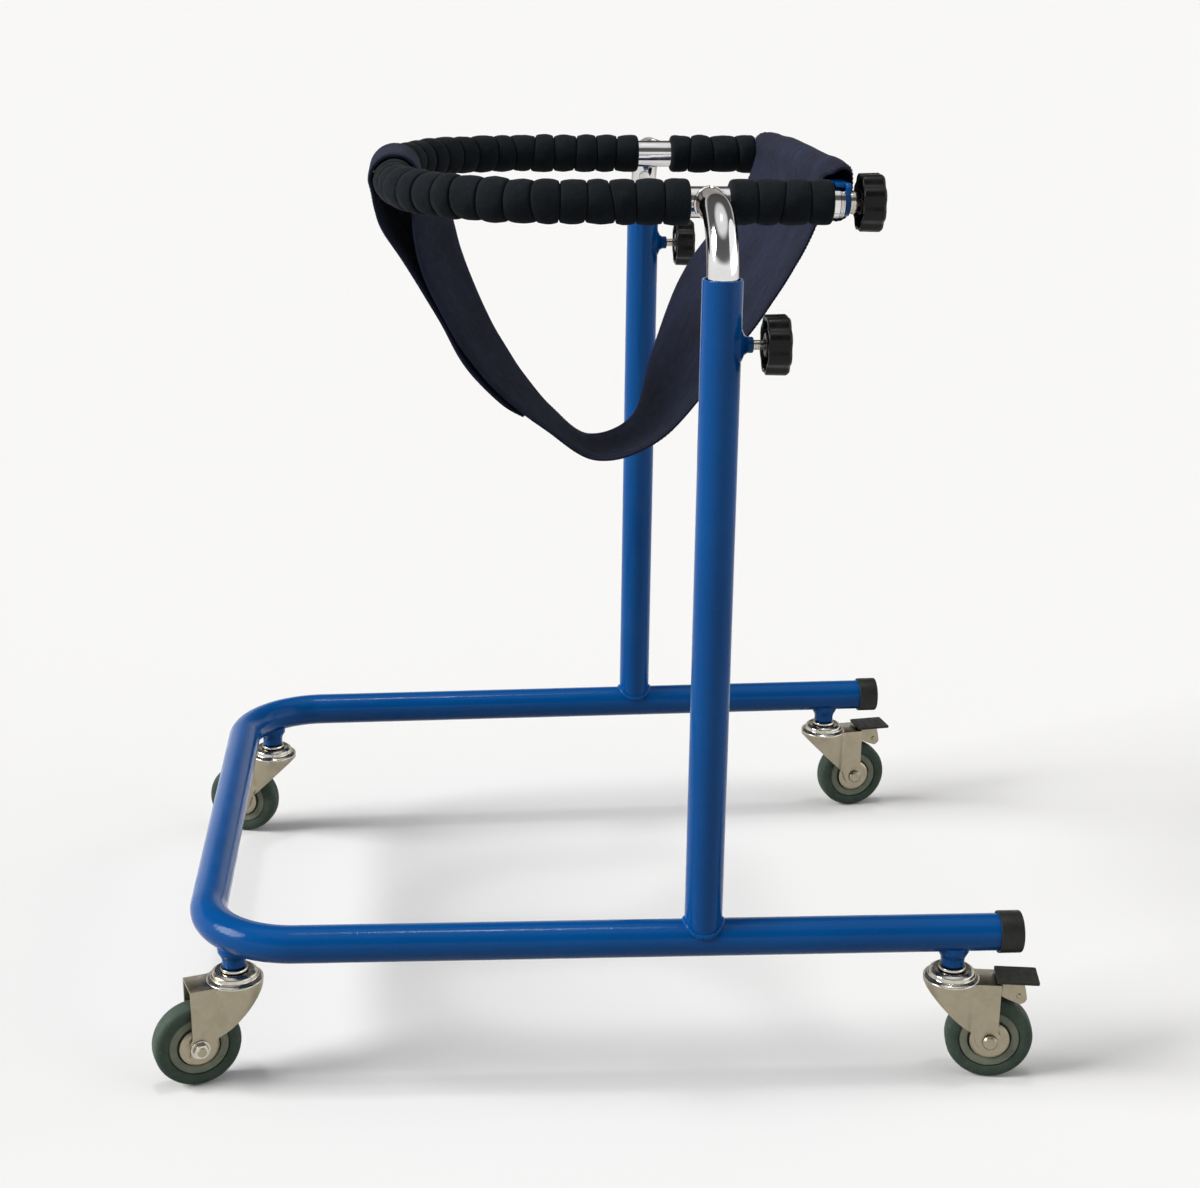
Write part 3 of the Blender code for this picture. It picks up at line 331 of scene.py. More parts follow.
def cloth():
    """Plain-woven navy cloth: crossing threads with a painted highlight where raised, slubs,
    paler streaks of painted highlight for folds and darker patches of painted shade for hollows.
    """
    s = Surface("navy_fabric", (0.0165, 0.0205, 0.0430), 0.9, space="UV",
                specular_ior_level=0.1, sheen_weight=0.02, sheen_roughness=0.5)
    weave = s.maths("MULTIPLY", s.bands(CLOTH_PERIOD, "X"), s.bands(CLOTH_PERIOD, "Y"))
    # Darker patches in random clouds: painted shade that stands for the cloth's hollows.
    s.patches(0.05, 4, 0.38, 0.68, (0.0125, 0.0138, 0.0265))
    # Paler lengthwise streaks in random clouds: a painted highlight that stands for lit folds.
    s.patches(0.030, 3, 0.52, 0.70, (0.0230, 0.0310, 0.0620), 0.6, (1, 0.25, 1))
    # Lighter where the weave is raised, following its relief below: a painted highlight on the
    # thread crossings.
    s.tint(s.between(weave, 0.15, 0.95, 0.0, 0.4), (0.0300, 0.0360, 0.0640))
    s.patches(0.0016, 3, 0.62, 0.72, (0.048, 0.048, 0.084), 0.3, (1, 0.12, 1))
    s.worn(0.008, 3, 0.3, 0.7, 0.80, 0.95)
    s.raised(weave, 0.00020)
    s.raised(s.clouds(0.010, 3, (1, 0.3, 1)), 0.0008)
    return s


def thread():
    """Sewing thread: a twisted strand a shade paler than the cloth."""
    s = Surface("navy_fabric", (0.024, 0.025, 0.050), 0.8, specular_ior_level=0.15)
    s.patches(0.0008, 2, 0.4, 0.7, (0.038, 0.040, 0.070))
    s.raised(s.clouds(0.0004, 2), 0.00005)
    return s


def tyre_rubber():
    """Grey rubber that marks no floor: mottled, with fine scuffs round the tread."""
    s = Surface("grey_rubber", (0.052, 0.080, 0.060), 0.62, specular_ior_level=0.2)
    s.patches(0.012, 4, 0.4, 0.7, (0.068, 0.096, 0.074))
    s.patches(0.0028, 5, 0.60, 0.72, (0.150, 0.145, 0.110), 0.5)
    s.worn(0.005, 4, 0.3, 0.7, 0.5, 0.78)
    s.raised(s.clouds(0.0007, 4), 0.00007)
    return s


def wheel_plastic():
    """Grey moulded plastic, dusty in patches."""
    s = Surface("grey_plastic", (0.205, 0.235, 0.170), 0.42, specular_ior_level=0.3)
    s.patches(0.010, 4, 0.4, 0.7, (0.260, 0.275, 0.205))
    s.patches(0.0024, 5, 0.62, 0.72, (0.11, 0.100, 0.07), 0.6)
    s.worn(0.004, 4, 0.3, 0.7, 0.34, 0.56)
    s.raised(s.cells(0.0008), 0.00003)
    return s


def cap_plastic():
    """The softer, brown black plastic of the end caps and the pedals."""
    s = Surface("black_plastic", (0.0130, 0.0140, 0.0110), 0.5, specular_ior_level=0.3)
    s.patches(0.010, 4, 0.42, 0.72, (0.0220, 0.0230, 0.0180), 0.8)
    s.patches(0.0020, 4, 0.68, 0.76, (0.060, 0.056, 0.045), 0.6)
    s.worn(0.006, 4, 0.35, 0.7, 0.38, 0.62)
    s.raised(s.cells(0.0009), 0.00003)
    return s


BLUE = blue_paint()
CHROME = chrome()
ZINC = zinc()
BRIGHT = bright_zinc()
PLASTIC = black_plastic()
FOAM = foam()
CLOTH = cloth()
THREAD = thread()
RUBBER = tyre_rubber()
WHEEL = wheel_plastic()
CAP = cap_plastic()
BY_SLOT = {s.slot: s for s in (BLUE, CHROME, ZINC, PLASTIC, FOAM, CLOTH, RUBBER, WHEEL)}


# Showing pieces

def show(name, mesh, body, surface, *nodes, place=None, sharp=35):
    """Adds a piece that moves with a body and stands for the named solids of the frame."""
    obj = bpy.data.objects.new(name, mesh)
    bpy.context.scene.collection.objects.link(obj)
    if place is not None:
        obj.matrix_world = place
    if not mesh.materials:
        mesh.name = name
        mesh.materials.append(surface.material)
        mesh.shade_smooth()
        mesh.set_sharp_from_angle(angle=radians(sharp))
    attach(obj, body)
    if nodes:
        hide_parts(*nodes)
    return obj


def stand_in(node, mesh, body, surface, **options):
    """Shows a piece in the place of one solid, whose name it takes."""
    return show(node + "_shown", mesh, body, surface, node, **options)


# Places and paths

def shift(x, y, z):
    return Matrix.Translation((x, y, z))


def rotate(angle, axis):
    """A turn by an angle in degrees."""
    return Matrix.Rotation(radians(angle), 4, axis)


def stood_x(x, y, z):
    """Stands a turned piece on the +X axis at a place."""
    return shift(x, y, z) @ rotate(90, "Y")


def stood_y(x, y, z):
    """Stands a turned piece on the +Y axis at a place."""
    return shift(x, y, z) @ rotate(-90, "X")


def splayed(side):
    """The turn of a rail on one side."""
    return Matrix.Rotation(side * atan(RAIL_SPLAY), 4, "Z")


def arc(x, y, radius, first, last, steps):
    """Points on an arc round (x, y) between two angles in degrees."""
    points = []
    for i in range(steps + 1):
        angle = radians(first + (last - first) * i / steps)
        points.append((x + radius * cos(angle), y + radius * sin(angle)))
    return points


def softened(profile, radius, closed=False, steps=3):
    """A profile with each corner rounded to about this radius, as far as its sides allow."""
    points = [Vector(p) for p in profile]
    count = len(points)
    out = []
    for i, corner in enumerate(points):
        before = points[i - 1] - corner
        after = points[(i + 1) % count] - corner
        room = min(before.length, after.length) * 0.45
        end_point = not closed and i in (0, count - 1)
        if end_point or room < 1e-6 or before.angle(after) > radians(172):
            out.append(corner)
            continue
        reach = min(room, radius / tan(before.angle(after) / 2))
        start = corner + before.normalized() * reach
        end = corner + after.normalized() * reach
        for k in range(steps + 1):
            t = k / steps
            out.append(start * (1 - t) ** 2 + corner * 2 * t * (1 - t) + end * t ** 2)
    return [(p.x, p.y) for p in out]


def rounded_path(corners, radius, steps):
    """A path through the corners, with each inner corner rounded by an arc."""
    corners = [Vector(corner) for corner in corners]
    path = [corners[0]]
    for before, corner, after in zip(corners, corners[1:], corners[2:]):
        towards = (before - corner).normalized()
        away = (after - corner).normalized()
        half = towards.angle(away) / 2
        centre = corner + (towards + away).normalized() * radius / sin(half)
        start = corner + towards * radius / tan(half) - centre
        sweep = pi - 2 * half
        axis = towards.cross(away).normalized()
        for i in range(steps + 1):
            path.append(centre + Matrix.Rotation(-sweep * i / steps, 3, axis) @ start)
    path.append(corners[-1])
    return path


def u_path(end_x, end_half, front_x, front_half, height, bend, steps):
    """A level U that is open to the rear, from its left end to its right end."""
    return rounded_path([
        (end_x, -end_half, height), (front_x, -front_half, height),
        (front_x, front_half, height), (end_x, end_half, height),
    ], bend, steps)


def directions_along(path):
    last = len(path) - 1
    return [(path[min(i + 1, last)] - path[max(i - 1, 0)]).normalized()
            for i in range(last + 1)]


def lengths_along(path):
    lengths = [0.0]
    for a, b in zip(path, path[1:]):
        lengths.append(lengths[-1] + (b - a).length)
    return lengths


def locate(lengths, distance):
    """The number of the path's piece at a distance, and how far along that piece it is."""
    k = 0
    while k < len(lengths) - 2 and lengths[k + 1] < distance:
        k += 1
    return k, (distance - lengths[k]) / (lengths[k + 1] - lengths[k])


def sampler(path):
    """A function from the distance along a path to (point, direction) there."""
    lengths = lengths_along(path)
    directions = directions_along(path)

    def at(distance):
        k, share = locate(lengths, max(0.0, min(lengths[-1], distance)))
        direction = directions[k].lerp(directions[k + 1], share).normalized()
        return path[k].lerp(path[k + 1], share), direction

    return at, lengths[-1]


# Meshes

def mesh_from(points, faces):
    """A mesh with doubled points merged and its faces turned outwards."""
    mesh = bpy.data.meshes.new("piece")
    mesh.from_pydata([tuple(p) for p in points], [], faces)
    bm = bmesh.new()
    bm.from_mesh(mesh)
    bmesh.ops.remove_doubles(bm, verts=bm.verts, dist=1e-7)
    bmesh.ops.dissolve_degenerate(bm, edges=bm.edges, dist=1e-8)
    bmesh.ops.recalc_face_normals(bm, faces=bm.faces)
    bm.to_mesh(mesh)
    bm.free()
    return mesh


def joined(*meshes):
    """One mesh made of several."""
    bm = bmesh.new()
    for mesh in meshes:
        bm.from_mesh(mesh)
    whole = bpy.data.meshes.new("piece")
    bm.to_mesh(whole)
    bm.free()
    return whole


def moved(mesh, matrix):
    mesh.transform(matrix)
    return mesh


def ring_of(place, u, v, radius, sides):
    """Points of a circle round a place, in the plane of two directions."""
    points = []
    for k in range(sides):
        angle = 2 * pi * k / sides
        points.append(place + u * radius * cos(angle) + v * radius * sin(angle))
    return points


def skin(rings, sides, looped=True, closed=True):
    """Faces between rings of points. Looped joins the last ring to the first; otherwise both
    ends are capped. Closed joins the last side to the first."""
    faces = []
    for i in range(rings if looped else rings - 1):
        a, b = i * sides, (i + 1) % rings * sides
        for k in range(sides if closed else sides - 1):
            n = (k + 1) % sides
            faces.append((a + k, a + n, b + n, b + k))
    if not looped:
        end = (rings - 1) * sides
        faces += [tuple(range(sides)), tuple(range(end + sides - 1, end - 1, -1))]
    return faces


def lathe(profile, steps, matrix=Matrix(), closed=False, lobes=None):
    """Turns a profile of (radius, height) about Z; lobes may change a radius by its angle."""
    points = []
    for i in range(steps):
        angle = 2 * pi * i / steps
        for radius, height in profile:
            r = lobes(radius, angle) if lobes else radius
            points.append((r * cos(angle), r * sin(angle), height))
    return moved(mesh_from(points, skin(steps, len(profile), closed=closed)), matrix)


def cylinder(radius, half, steps, matrix, bevel=0.0):
    """A rod along Z, as long above its middle as below."""
    profile = [(0, half), (radius, half), (radius, -half), (0, -half)]
    return lathe(softened(profile, bevel) if bevel else profile, steps, matrix)


def prism(outline, low, high, matrix=Matrix()):
    """A straight prism on an outline in XY, between two heights."""
    points = [(x, y, z) for z in (low, high) for x, y in outline]
    *walls, foot, head = skin(2, len(outline), looped=False)
    return moved(mesh_from(points, [foot, head[::-1], *walls]), matrix)


def swept(path, radius, up=UP):
    """A closed round bar along a path."""
    points = []
    for place, direction in zip(path, directions_along(path)):
        across = direction.cross(up).normalized()
        over = across.cross(direction).normalized()
        points += ring_of(place, across, over, radius, TUBE_SIDES)
    return mesh_from(points, skin(len(path), TUBE_SIDES, looped=False))


def bead(path, radius, seed):
    """A closed weld bead along a loop, with the ripples of its puddles."""
    points = []
    sides = 10
    middle = sum(path, Vector()) / len(path)
    for i, place in enumerate(path):
        direction = (path[(i + 1) % len(path)] - path[i - 1]).normalized()
        over = direction.cross((place - middle).normalized()).normalized()
        outward = over.cross(direction).normalized()
        ripple = 0.10 * sin(i * 2.1) + 0.12 * noise.noise(place * 260 + Vector((seed, 0, 0)))
        points += ring_of(place, outward, over, radius * (1 + ripple), sides)
    return mesh_from(points, skin(len(path), sides))


def boolean(mesh, operations):
    """Cuts a mesh with others or joins them to it, and breaks its sharp edges."""
    scene = bpy.context.scene.collection
    obj = bpy.data.objects.new("form", mesh)
    scene.objects.link(obj)
    helpers = []
    for operation, other in operations:
        helper = bpy.data.objects.new("helper", other)
        scene.objects.link(helper)
        helpers.append(helper)
        modifier = obj.modifiers.new("cut", "BOOLEAN")
        modifier.operation = operation
        modifier.object = helper
        modifier.solver = "EXACT"
    bevel = obj.modifiers.new("edges", "BEVEL")
    bevel.width = 0.0005
    bevel.segments = 2
    bevel.limit_method = "ANGLE"
    bevel.angle_limit = radians(40)
    bpy.context.view_layer.update()
    graph = bpy.context.evaluated_depsgraph_get()
    result = bpy.data.meshes.new_from_object(obj.evaluated_get(graph), depsgraph=graph)
    for helper in (*helpers, obj):
        bpy.data.objects.remove(helper)
    result.materials.clear()
    return result


# Base

def base():
    path = u_path(RAIL_END_X, rail_half_width(RAIL_END_X), CROSS_X, HALF_WIDTH_FRONT,
                  RAIL_HEIGHT, BASE_BEND_RADIUS, 28)
    stand_in("base_tube", swept(path, TUBE_RADIUS), "frame", BLUE)


def saddle(y, radius, rail_turn):
    """The loop where an upright tube of this radius meets the rail. At the rail's flanks it
    stays high in a round curve, as the weld fills the notch there."""
    stand = shift(UPRIGHT_X, y, RAIL_HEIGHT) @ rail_turn
    loop = []
    for i in range(96):
        angle = 2 * pi * i / 96
        across = radius * sin(angle)
        height = sqrt(max(0.0, TUBE_RADIUS ** 2 - across ** 2))
        height = sqrt(height ** 2 + FOOT_RISE ** 2 * (across / radius) ** 8)
        loop.append(stand @ Vector((radius * cos(angle), across, height)))
    return loop


def upright(word, side):
    """The tube with its open top, the clamp screw's boss and the weld at its foot."""
    y = side * UPRIGHT_Y
    wall = TUBE_RADIUS - TUBE_WALL
    foot = RAIL_HEIGHT + FOOT_RISE
    tube = lathe(softened([
        (0, UPRIGHT_TOP - OPEN_DEPTH), (wall, UPRIGHT_TOP - OPEN_DEPTH), (wall, UPRIGHT_TOP),
        (TUBE_RADIUS, UPRIGHT_TOP), (TUBE_RADIUS, foot), (0, foot),
    ], 0.0006), TUBE_SIDES, shift(UPRIGHT_X, y, 0))
    reach = TUBE_RADIUS + BOSS_LENGTH
    boss = lathe(softened([
        (BOSS_BORE, reach - 0.006), (BOSS_BORE, reach), (0.0057, reach),
        (0.0063, reach - 0.0006), (0.0063, TUBE_RADIUS + 0.0045),
        (0.0079, TUBE_RADIUS + 0.0020), (0.0108, TUBE_RADIUS + 0.0003),
        (0.0132, TUBE_RADIUS - 0.0022), (0.0135, 0.0075), (BOSS_BORE, 0.0075),
    ], 0.0010, True), TUBE_SIDES, stood_x(UPRIGHT_X, y, CLAMP_HEIGHT), True)
    for vert in boss.vertices:
        depth = reach - 0.004 - (vert.co.x - UPRIGHT_X)
        weld = max(0.0, min(1.0, depth / 0.006))
        lump = 1 + 0.05 * weld * noise.noise(vert.co * 240)
        vert.co.y = y + (vert.co.y - y) * lump
        vert.co.z = CLAMP_HEIGHT + (vert.co.z - CLAMP_HEIGHT) * (lump + 0.22 * weld * weld)
    stand_in("upright_" + word, joined(tube, boss), "frame", BLUE)
    loop = saddle(y, TUBE_RADIUS - 0.0001, splayed(side))
    show("upright_weld_" + word, bead(loop, FOOT_WELD_RADIUS, 3 * side), "frame", BLUE)


def end_cap(word, side):
    half = CAP_LENGTH / 2
    inner = TUBE_RADIUS + GAP
    profile = softened([
        (0, half), (CAP_RADIUS, half), (CAP_RADIUS, -half),
        (inner, -half), (inner, half - CAP_END_WALL), (0, half - CAP_END_WALL),
    ], 0.0016, steps=4)
    x = RAIL_END_X + GAP + CAP_END_WALL - half
    place = shift(x, side * rail_half_width(x), RAIL_HEIGHT) @ splayed(side)
    cup = lathe(profile, TUBE_SIDES, place @ rotate(90, "Y"))
    stand_in("end_cap_" + word, cup, "frame", CAP)


# Ring and stems

def ring_path(arm_end):
    return u_path(arm_end, RING_HALF_WIDTH, RING_FRONT_X, RING_HALF_WIDTH,
                  RING_HEIGHT, RING_BEND_RADIUS, 40)


def stem(word, side):
    """A stem, and the weld where it meets the ring's arm."""
    path = rounded_path([
        (UPRIGHT_X, side * UPRIGHT_Y, STEM_BOTTOM),
        (UPRIGHT_X, side * UPRIGHT_Y, RING_HEIGHT),
        (UPRIGHT_X, side * (RING_HALF_WIDTH + 0.004), RING_HEIGHT),
    ], STEM_BEND_RADIUS, 28)
    stand_in("stem_" + word, swept(path, STEM_RADIUS, Vector((1, 0, 0))), "ring", CHROME)
    loop = []
    for i in range(72):
        angle = 2 * pi * i / 72
        along = (STEM_RADIUS + 0.0004) * cos(angle)
        up = (STEM_RADIUS - 0.0002) * sin(angle)
        out = sqrt(max(0.0, STEM_RADIUS ** 2 - up ** 2)) + 0.0004
        loop.append(Vector((UPRIGHT_X + along, side * (RING_HALF_WIDTH + out), RING_HEIGHT + up)))
    show("stem_weld_" + word, bead(loop, STEM_WELD_RADIUS, 7 * side), "ring", CHROME)


def arm_insert(word, side):
    """The ferrule in an arm's end, with the grooves of its threaded collar."""
    profile = [(0.0046, -0.012), (0.0046, INSERT_FLANGE), (0.0095, INSERT_FLANGE)]
    for i in range(INSERT_RIDGES):
        high = INSERT_FLANGE * (1 - i / INSERT_RIDGES)
        low = INSERT_FLANGE * (1 - (i + 1) / INSERT_RIDGES)
        profile += [(INSERT_RADIUS - 0.0006, high), (INSERT_RADIUS, high - 0.0003),
                    (INSERT_RADIUS, low + 0.0003), (INSERT_RADIUS - 0.0006, low)]
    profile += [(0.0100, 0.0), (0.0100, -0.012)]
    place = stood_x(RING_END_X + GAP, side * RING_HALF_WIDTH, RING_HEIGHT)
    stand_in("arm_insert_" + word, lathe(profile, TUBE_SIDES, place, True), "ring", CHROME)


def rear_bar():
    """The bar with its lugs, each bent over the tip of its arm."""
    low = STEM_RADIUS + GAP
    high = low + 0.003
    start = LUG_FACE - LUG_THICKNESS
    up = shift(0, 0, RING_HEIGHT)
    stand = up @ rotate(90, "Z") @ rotate(90, "X")
    rod_place = stood_y(BAR_X, 0, RING_HEIGHT)
    parts = [cylinder(BAR_RADIUS, BAR_HALF_LENGTH, 40, rod_place, 0.0012)]
    for side in SIDES.values():
        outline = arc(RING_HALF_WIDTH, 0, LUG_RADIUS, -90, 0, 12)
        outline += [(0.209, high - 0.003), (0.206, high), (0.160, high), (0.160, -0.0072)]
        outline = softened([(side * u, v) for u, v in outline], 0.0012, True)
        tab = softened([
            (0.188, side * 0.1604), (start + 0.001, side * 0.1604),
            (start + 0.001, side * 0.2052), (0.188, side * 0.2052),
        ], 0.0015, True)
        hole = cylinder(LUG_HOLE, 0.01, 32, stood_x(start, side * RING_HALF_WIDTH, RING_HEIGHT))
        parts.append(boolean(prism(outline, start, LUG_FACE, stand), [
            ("UNION", prism(tab, low, high - 0.0001, up)), ("DIFFERENCE", hole),
        ]))
    stand_in("rear_bar", joined(*parts), "ring", BLUE)


# Foam

def foam_sleeve(node, path, ribs, seed):
    """A sleeve whose ribs bulge between tight creases, each a little unlike the next."""
    chance = random.Random(seed)
    at, length = sampler(path)
    pitch = length / ribs
    inside = [0 < i < ribs for i in range(ribs + 1)]
    joints = [pitch * i + chance.uniform(-0.12, 0.12) * pitch * free
              for i, free in enumerate(inside)]
    crests = [FOAM_CREST_RADIUS + chance.uniform(-0.0009, 0.0002) for _ in range(ribs)]
    tilts = [(chance.uniform(0, 2 * pi), chance.uniform(0, FOAM_TILT) * free)
             for free in inside]
    per_rib = 16
    sides = 48

    def joint(i, angle):
        return joints[i] + tilts[i][1] * cos(angle - tilts[i][0])

    points = []
    for i in range(ribs):
        for row in range(per_rib + (i == ribs - 1)):
            t = -cos(pi * row / per_rib)
            if (i == 0 and t < 0) or (i == ribs - 1 and t > 0):
                bulge = crests[i] - FOAM_BORE_RADIUS
                radius = FOAM_BORE_RADIUS + bulge * (1 - abs(t) ** 7) ** 0.52
            else:
                crease = max(0.0, (abs(t) - 0.88) / 0.12)
                radius = crests[i] - 0.0016 * t * t - FOAM_CREASE * crease * crease
            for k in range(sides):
                angle = 2 * pi * k / sides
                start, end = joint(i, angle), joint(i + 1, angle)
                place, direction = at(start + (end - start) * ((t + 1) / 2))
                across = direction.cross(UP).normalized()
                out = across * cos(angle) + UP * sin(angle)
                spot = place + out * radius
                lump = 0.00045 * noise.noise(spot * 60 + Vector((seed, 0, 0)))
                lump += 0.00035 * noise.noise(spot * 170 + Vector((0, seed, 0)))
                if radius <= FOAM_BORE_RADIUS + 0.0005:
                    lump = 0
                points.append(place + out * (radius + lump))
    for i in range(1, ribs):
        place, direction = at(length * (1 - i / ribs))
        across = direction.cross(UP).normalized()
        points += ring_of(place, across, UP, FOAM_BORE_RADIUS, sides)
    mesh = mesh_from(points, skin(len(points) // sides, sides))
    obj = stand_in(node, mesh, "ring", FOAM, sharp=180)


def foams():
    path = ring_path(UPRIGHT_X - FOAM_GAP_HALF)
    ribs = round(lengths_along(path)[-1] / FOAM_PITCH)
    foam_sleeve("foam_front", path, ribs, 11)
    start = UPRIGHT_X + FOAM_GAP_HALF
    end = start + FOAM_REAR_RIBS * FOAM_PITCH
    for word, side in SIDES.items():
        y = side * RING_HALF_WIDTH
        line = [Vector((start + (end - start) * i / 20, y, RING_HEIGHT)) for i in range(21)]
        foam_sleeve("foam_rear_" + word, line, FOAM_REAR_RIBS, 21 + side)


# Screws and knobs

def thread_mesh(start, end, radius):
    """A screw thread's ridge from one X to another, on the X axis."""
    per_turn = 20
    steps = int((end - start) / SCREW_PITCH * per_turn)
    points = []
    for i in range(steps + 1):
        angle = 2 * pi * i / per_turn
        x = start + (end - start) * i / steps
        fade = min(1.0, i / 10, (steps - i) / 10)
        root, crest = radius - 0.00035, radius + 0.0002 * fade
        for dx, r in ((-0.36, root), (0.0, crest), (0.36, root)):
            points.append((x + dx * SCREW_PITCH, r * cos(angle), r * sin(angle)))
    return mesh_from(points, skin(steps + 1, 3, looped=False))


def stud(node, body, x_tip, x_knob, y, z, bare_from, collar=None):
    """A screw from its tip to its seat in the knob, threaded from where it is bare. Collar
    gives where along X a collar starts and ends."""
    length = x_knob + KNOB_SEAT - x_tip
    core = SCREW_RADIUS - 0.00025
    profile = [(0, length), (core, length), (core, 0.0008), (core - 0.0008, 0), (0, 0)]
    ridge = thread_mesh(bare_from, x_knob - 0.0003, SCREW_RADIUS - 0.0002)
    parts = [lathe(softened(profile, 0.0002), 32, stood_x(x_tip, y, z)),
             moved(ridge, shift(0, y, z))]
    if collar:
        low, high = collar
        middle = (low + high) / 2
        ring = softened([(0.003, low), (0.009, low), (0.009, high), (0.003, high)], 0.0007, True)
        band = [(0.0085, middle - 0.0010), (0.0094, middle - 0.0007),
                (0.0094, middle + 0.0007), (0.0085, middle + 0.0010)]
        parts += [lathe(shape, 40, stood_x(0, y, z), True) for shape in (ring, band)]
    stand_in(node, joined(*parts), body, BRIGHT)


def knob_lobes(radius, angle):
    """Scallops fade out towards the middle of the knob."""
    groove = (0.5 + 0.5 * cos(KNOB_LOBES * angle)) ** 1.6
    reach = max(0.0, min(1.0, (radius - 0.013) / 0.008))
    return radius - KNOB_SCALLOP * groove * reach


def knob_mesh():
    """A hollow-backed star knob with a sunk middle and a bore for the stud."""
    top, rim, hub = KNOB_THICKNESS, KNOB_RADIUS, KNOB_HUB_RADIUS
    profile = softened([
        (0, top - 0.0012), (0.0125, top - 0.0012), (0.0150, top), (rim - 0.0015, top),
        (rim, top - 0.0022), (rim - 0.0004, 0), (rim - 0.0036, 0), (rim - 0.0046, top - 0.0040),
        (hub, top - 0.0040), (hub, 0.0004), (0.0046, 0), (0.0046, 0.010), (0, 0.010),
    ], 0.0012, steps=4)
    return lathe(profile, 192, lobes=knob_lobes)


# Casters

def fork_profile():
    """The fork from the side, with its cheeks narrowing to the axle's eye."""
    above = FORK_TOP + 0.001
    ahead = -FORK_HEAD_RADIUS - 0.001
    eye = arc(CASTER_TRAIL, WHEEL_RADIUS, FORK_EYE_RADIUS, 15, -165, 16)
    return [(ahead, above), (FORK_REAR_X, above), (FORK_REAR_X, 0.0470), *eye,
            (0.0205, 0.0440), (ahead, FORK_TOP - 0.0030)]


def head_outline(inset, rear):
    """The fork's outline from above, its round head running smoothly into the cheeks."""
    half = FORK_HALF_WIDTH - inset
    radius = FORK_HEAD_RADIUS - inset
    centre_y = half + FORK_BLEND
    centre_x = sqrt((radius + FORK_BLEND) ** 2 - centre_y ** 2)
    start = degrees(atan2(centre_y, centre_x))
    blend = arc(centre_x, centre_y, FORK_BLEND, -90, start - 180, 8)
    head = arc(0, 0, radius, start, 360 - start, 48)[1:-1]
    mirrored = [(x, -y) for x, y in reversed(blend)]
    return [(rear, -half), (rear, half), *blend, *head, *mirrored]


def fork_mesh():
    """A pressed sheet fork: a hollow shell cut to its side view and drilled for the axle."""
    foot = FORK_TOP - 0.07
    shell = prism(head_outline(0, FORK_REAR_X + 0.002), foot, FORK_TOP)
    hollow = prism(head_outline(SHEET, FORK_REAR_X + 0.01), foot - 0.01, FORK_TOP - SHEET)
    side = prism(fork_profile(), -0.04, 0.04, rotate(90, "X"))
    eye = cylinder(AXLE_HOLE, 0.03, 24, stood_y(CASTER_TRAIL, 0, WHEEL_RADIUS))
    return boolean(shell, [("DIFFERENCE", hollow), ("INTERSECT", side), ("DIFFERENCE", eye)])


def race_mesh():
    """The drawn cover of the ball race on the fork's head: a round shoulder over a flange."""
    top = RACE_HEIGHT
    profile = softened([
        (0.0055, top - 0.0008), (0.0130, top - 0.0004), (0.0165, top), (0.0195, top - 0.0022),
        (0.0200, 0.0018), (0.0225, 0.0014), (0.0243, 0.0002), (0.0243, -0.0012),
        (0.0055, -0.0012),
    ], 0.0022, True, 5)
    return lathe(profile, 64, shift(0, 0, FORK_TOP), True)


def pin_mesh():
    """The caster's pin with its washer, from the socket down through the race."""
    seat = FORK_TOP + RACE_HEIGHT + GAP
    top = SOCKET_BOTTOM + 0.004
    foot = FORK_TOP - 0.006
    profile = softened([
        (0, top), (0.0050, top), (0.0050, seat + 0.0022), (0.0115, seat + 0.0022),
        (0.0122, seat), (0.0050, seat), (0.0050, foot), (0, foot),
    ], 0.0005)
    return lathe(profile, 40)


def socket_mesh():
    """The socket under the rail, flared where it is welded on."""
    root = RAIL_HEIGHT - TUBE_RADIUS
    profile = softened([
        (0.0053, root + 0.006), (0.0140, root + 0.006), (0.0136, root),
        (0.0108, root - 0.0055), (0.0102, root - 0.0085),
        (0.0102, SOCKET_BOTTOM), (0.0053, SOCKET_BOTTOM),
    ], 0.0016, True, 4)
    return lathe(profile, 48, closed=True)


def both_faces(side):
    """A wheel's whole profile from that of one face."""
    return side + [(r, -h) for r, h in reversed(side)]


def tyre_mesh():
    half, tread = TYRE_WIDTH / 2, WHEEL_RADIUS
    return lathe(both_faces([
        (TYRE_SEAT_RADIUS + 0.0002, half - 0.0004), (TYRE_SEAT_RADIUS + 0.0012, half),
        (tread - 0.0060, half), (tread - 0.0028, half - 0.0007),
        (tread - 0.0010, half - 0.0022), (tread - 0.0001, half - 0.0048),
        (tread, half - 0.0070), (tread, 0.0006),
    ]), 96, closed=True)


def rim_mesh():
    hub, edge = 0.0110, TYRE_WIDTH / 2 - 0.0008
    profile = softened(both_faces([
        (0.0045, hub), (0.0085, hub), (0.0095, 0.0045), (0.0181, 0.0035),
        (0.0186, edge - 0.0006), (0.0191, edge), (0.0250, edge), (0.0261, edge - 0.0010),
    ]), 0.0006, True, 2)
    return lathe(profile, 96, closed=True)


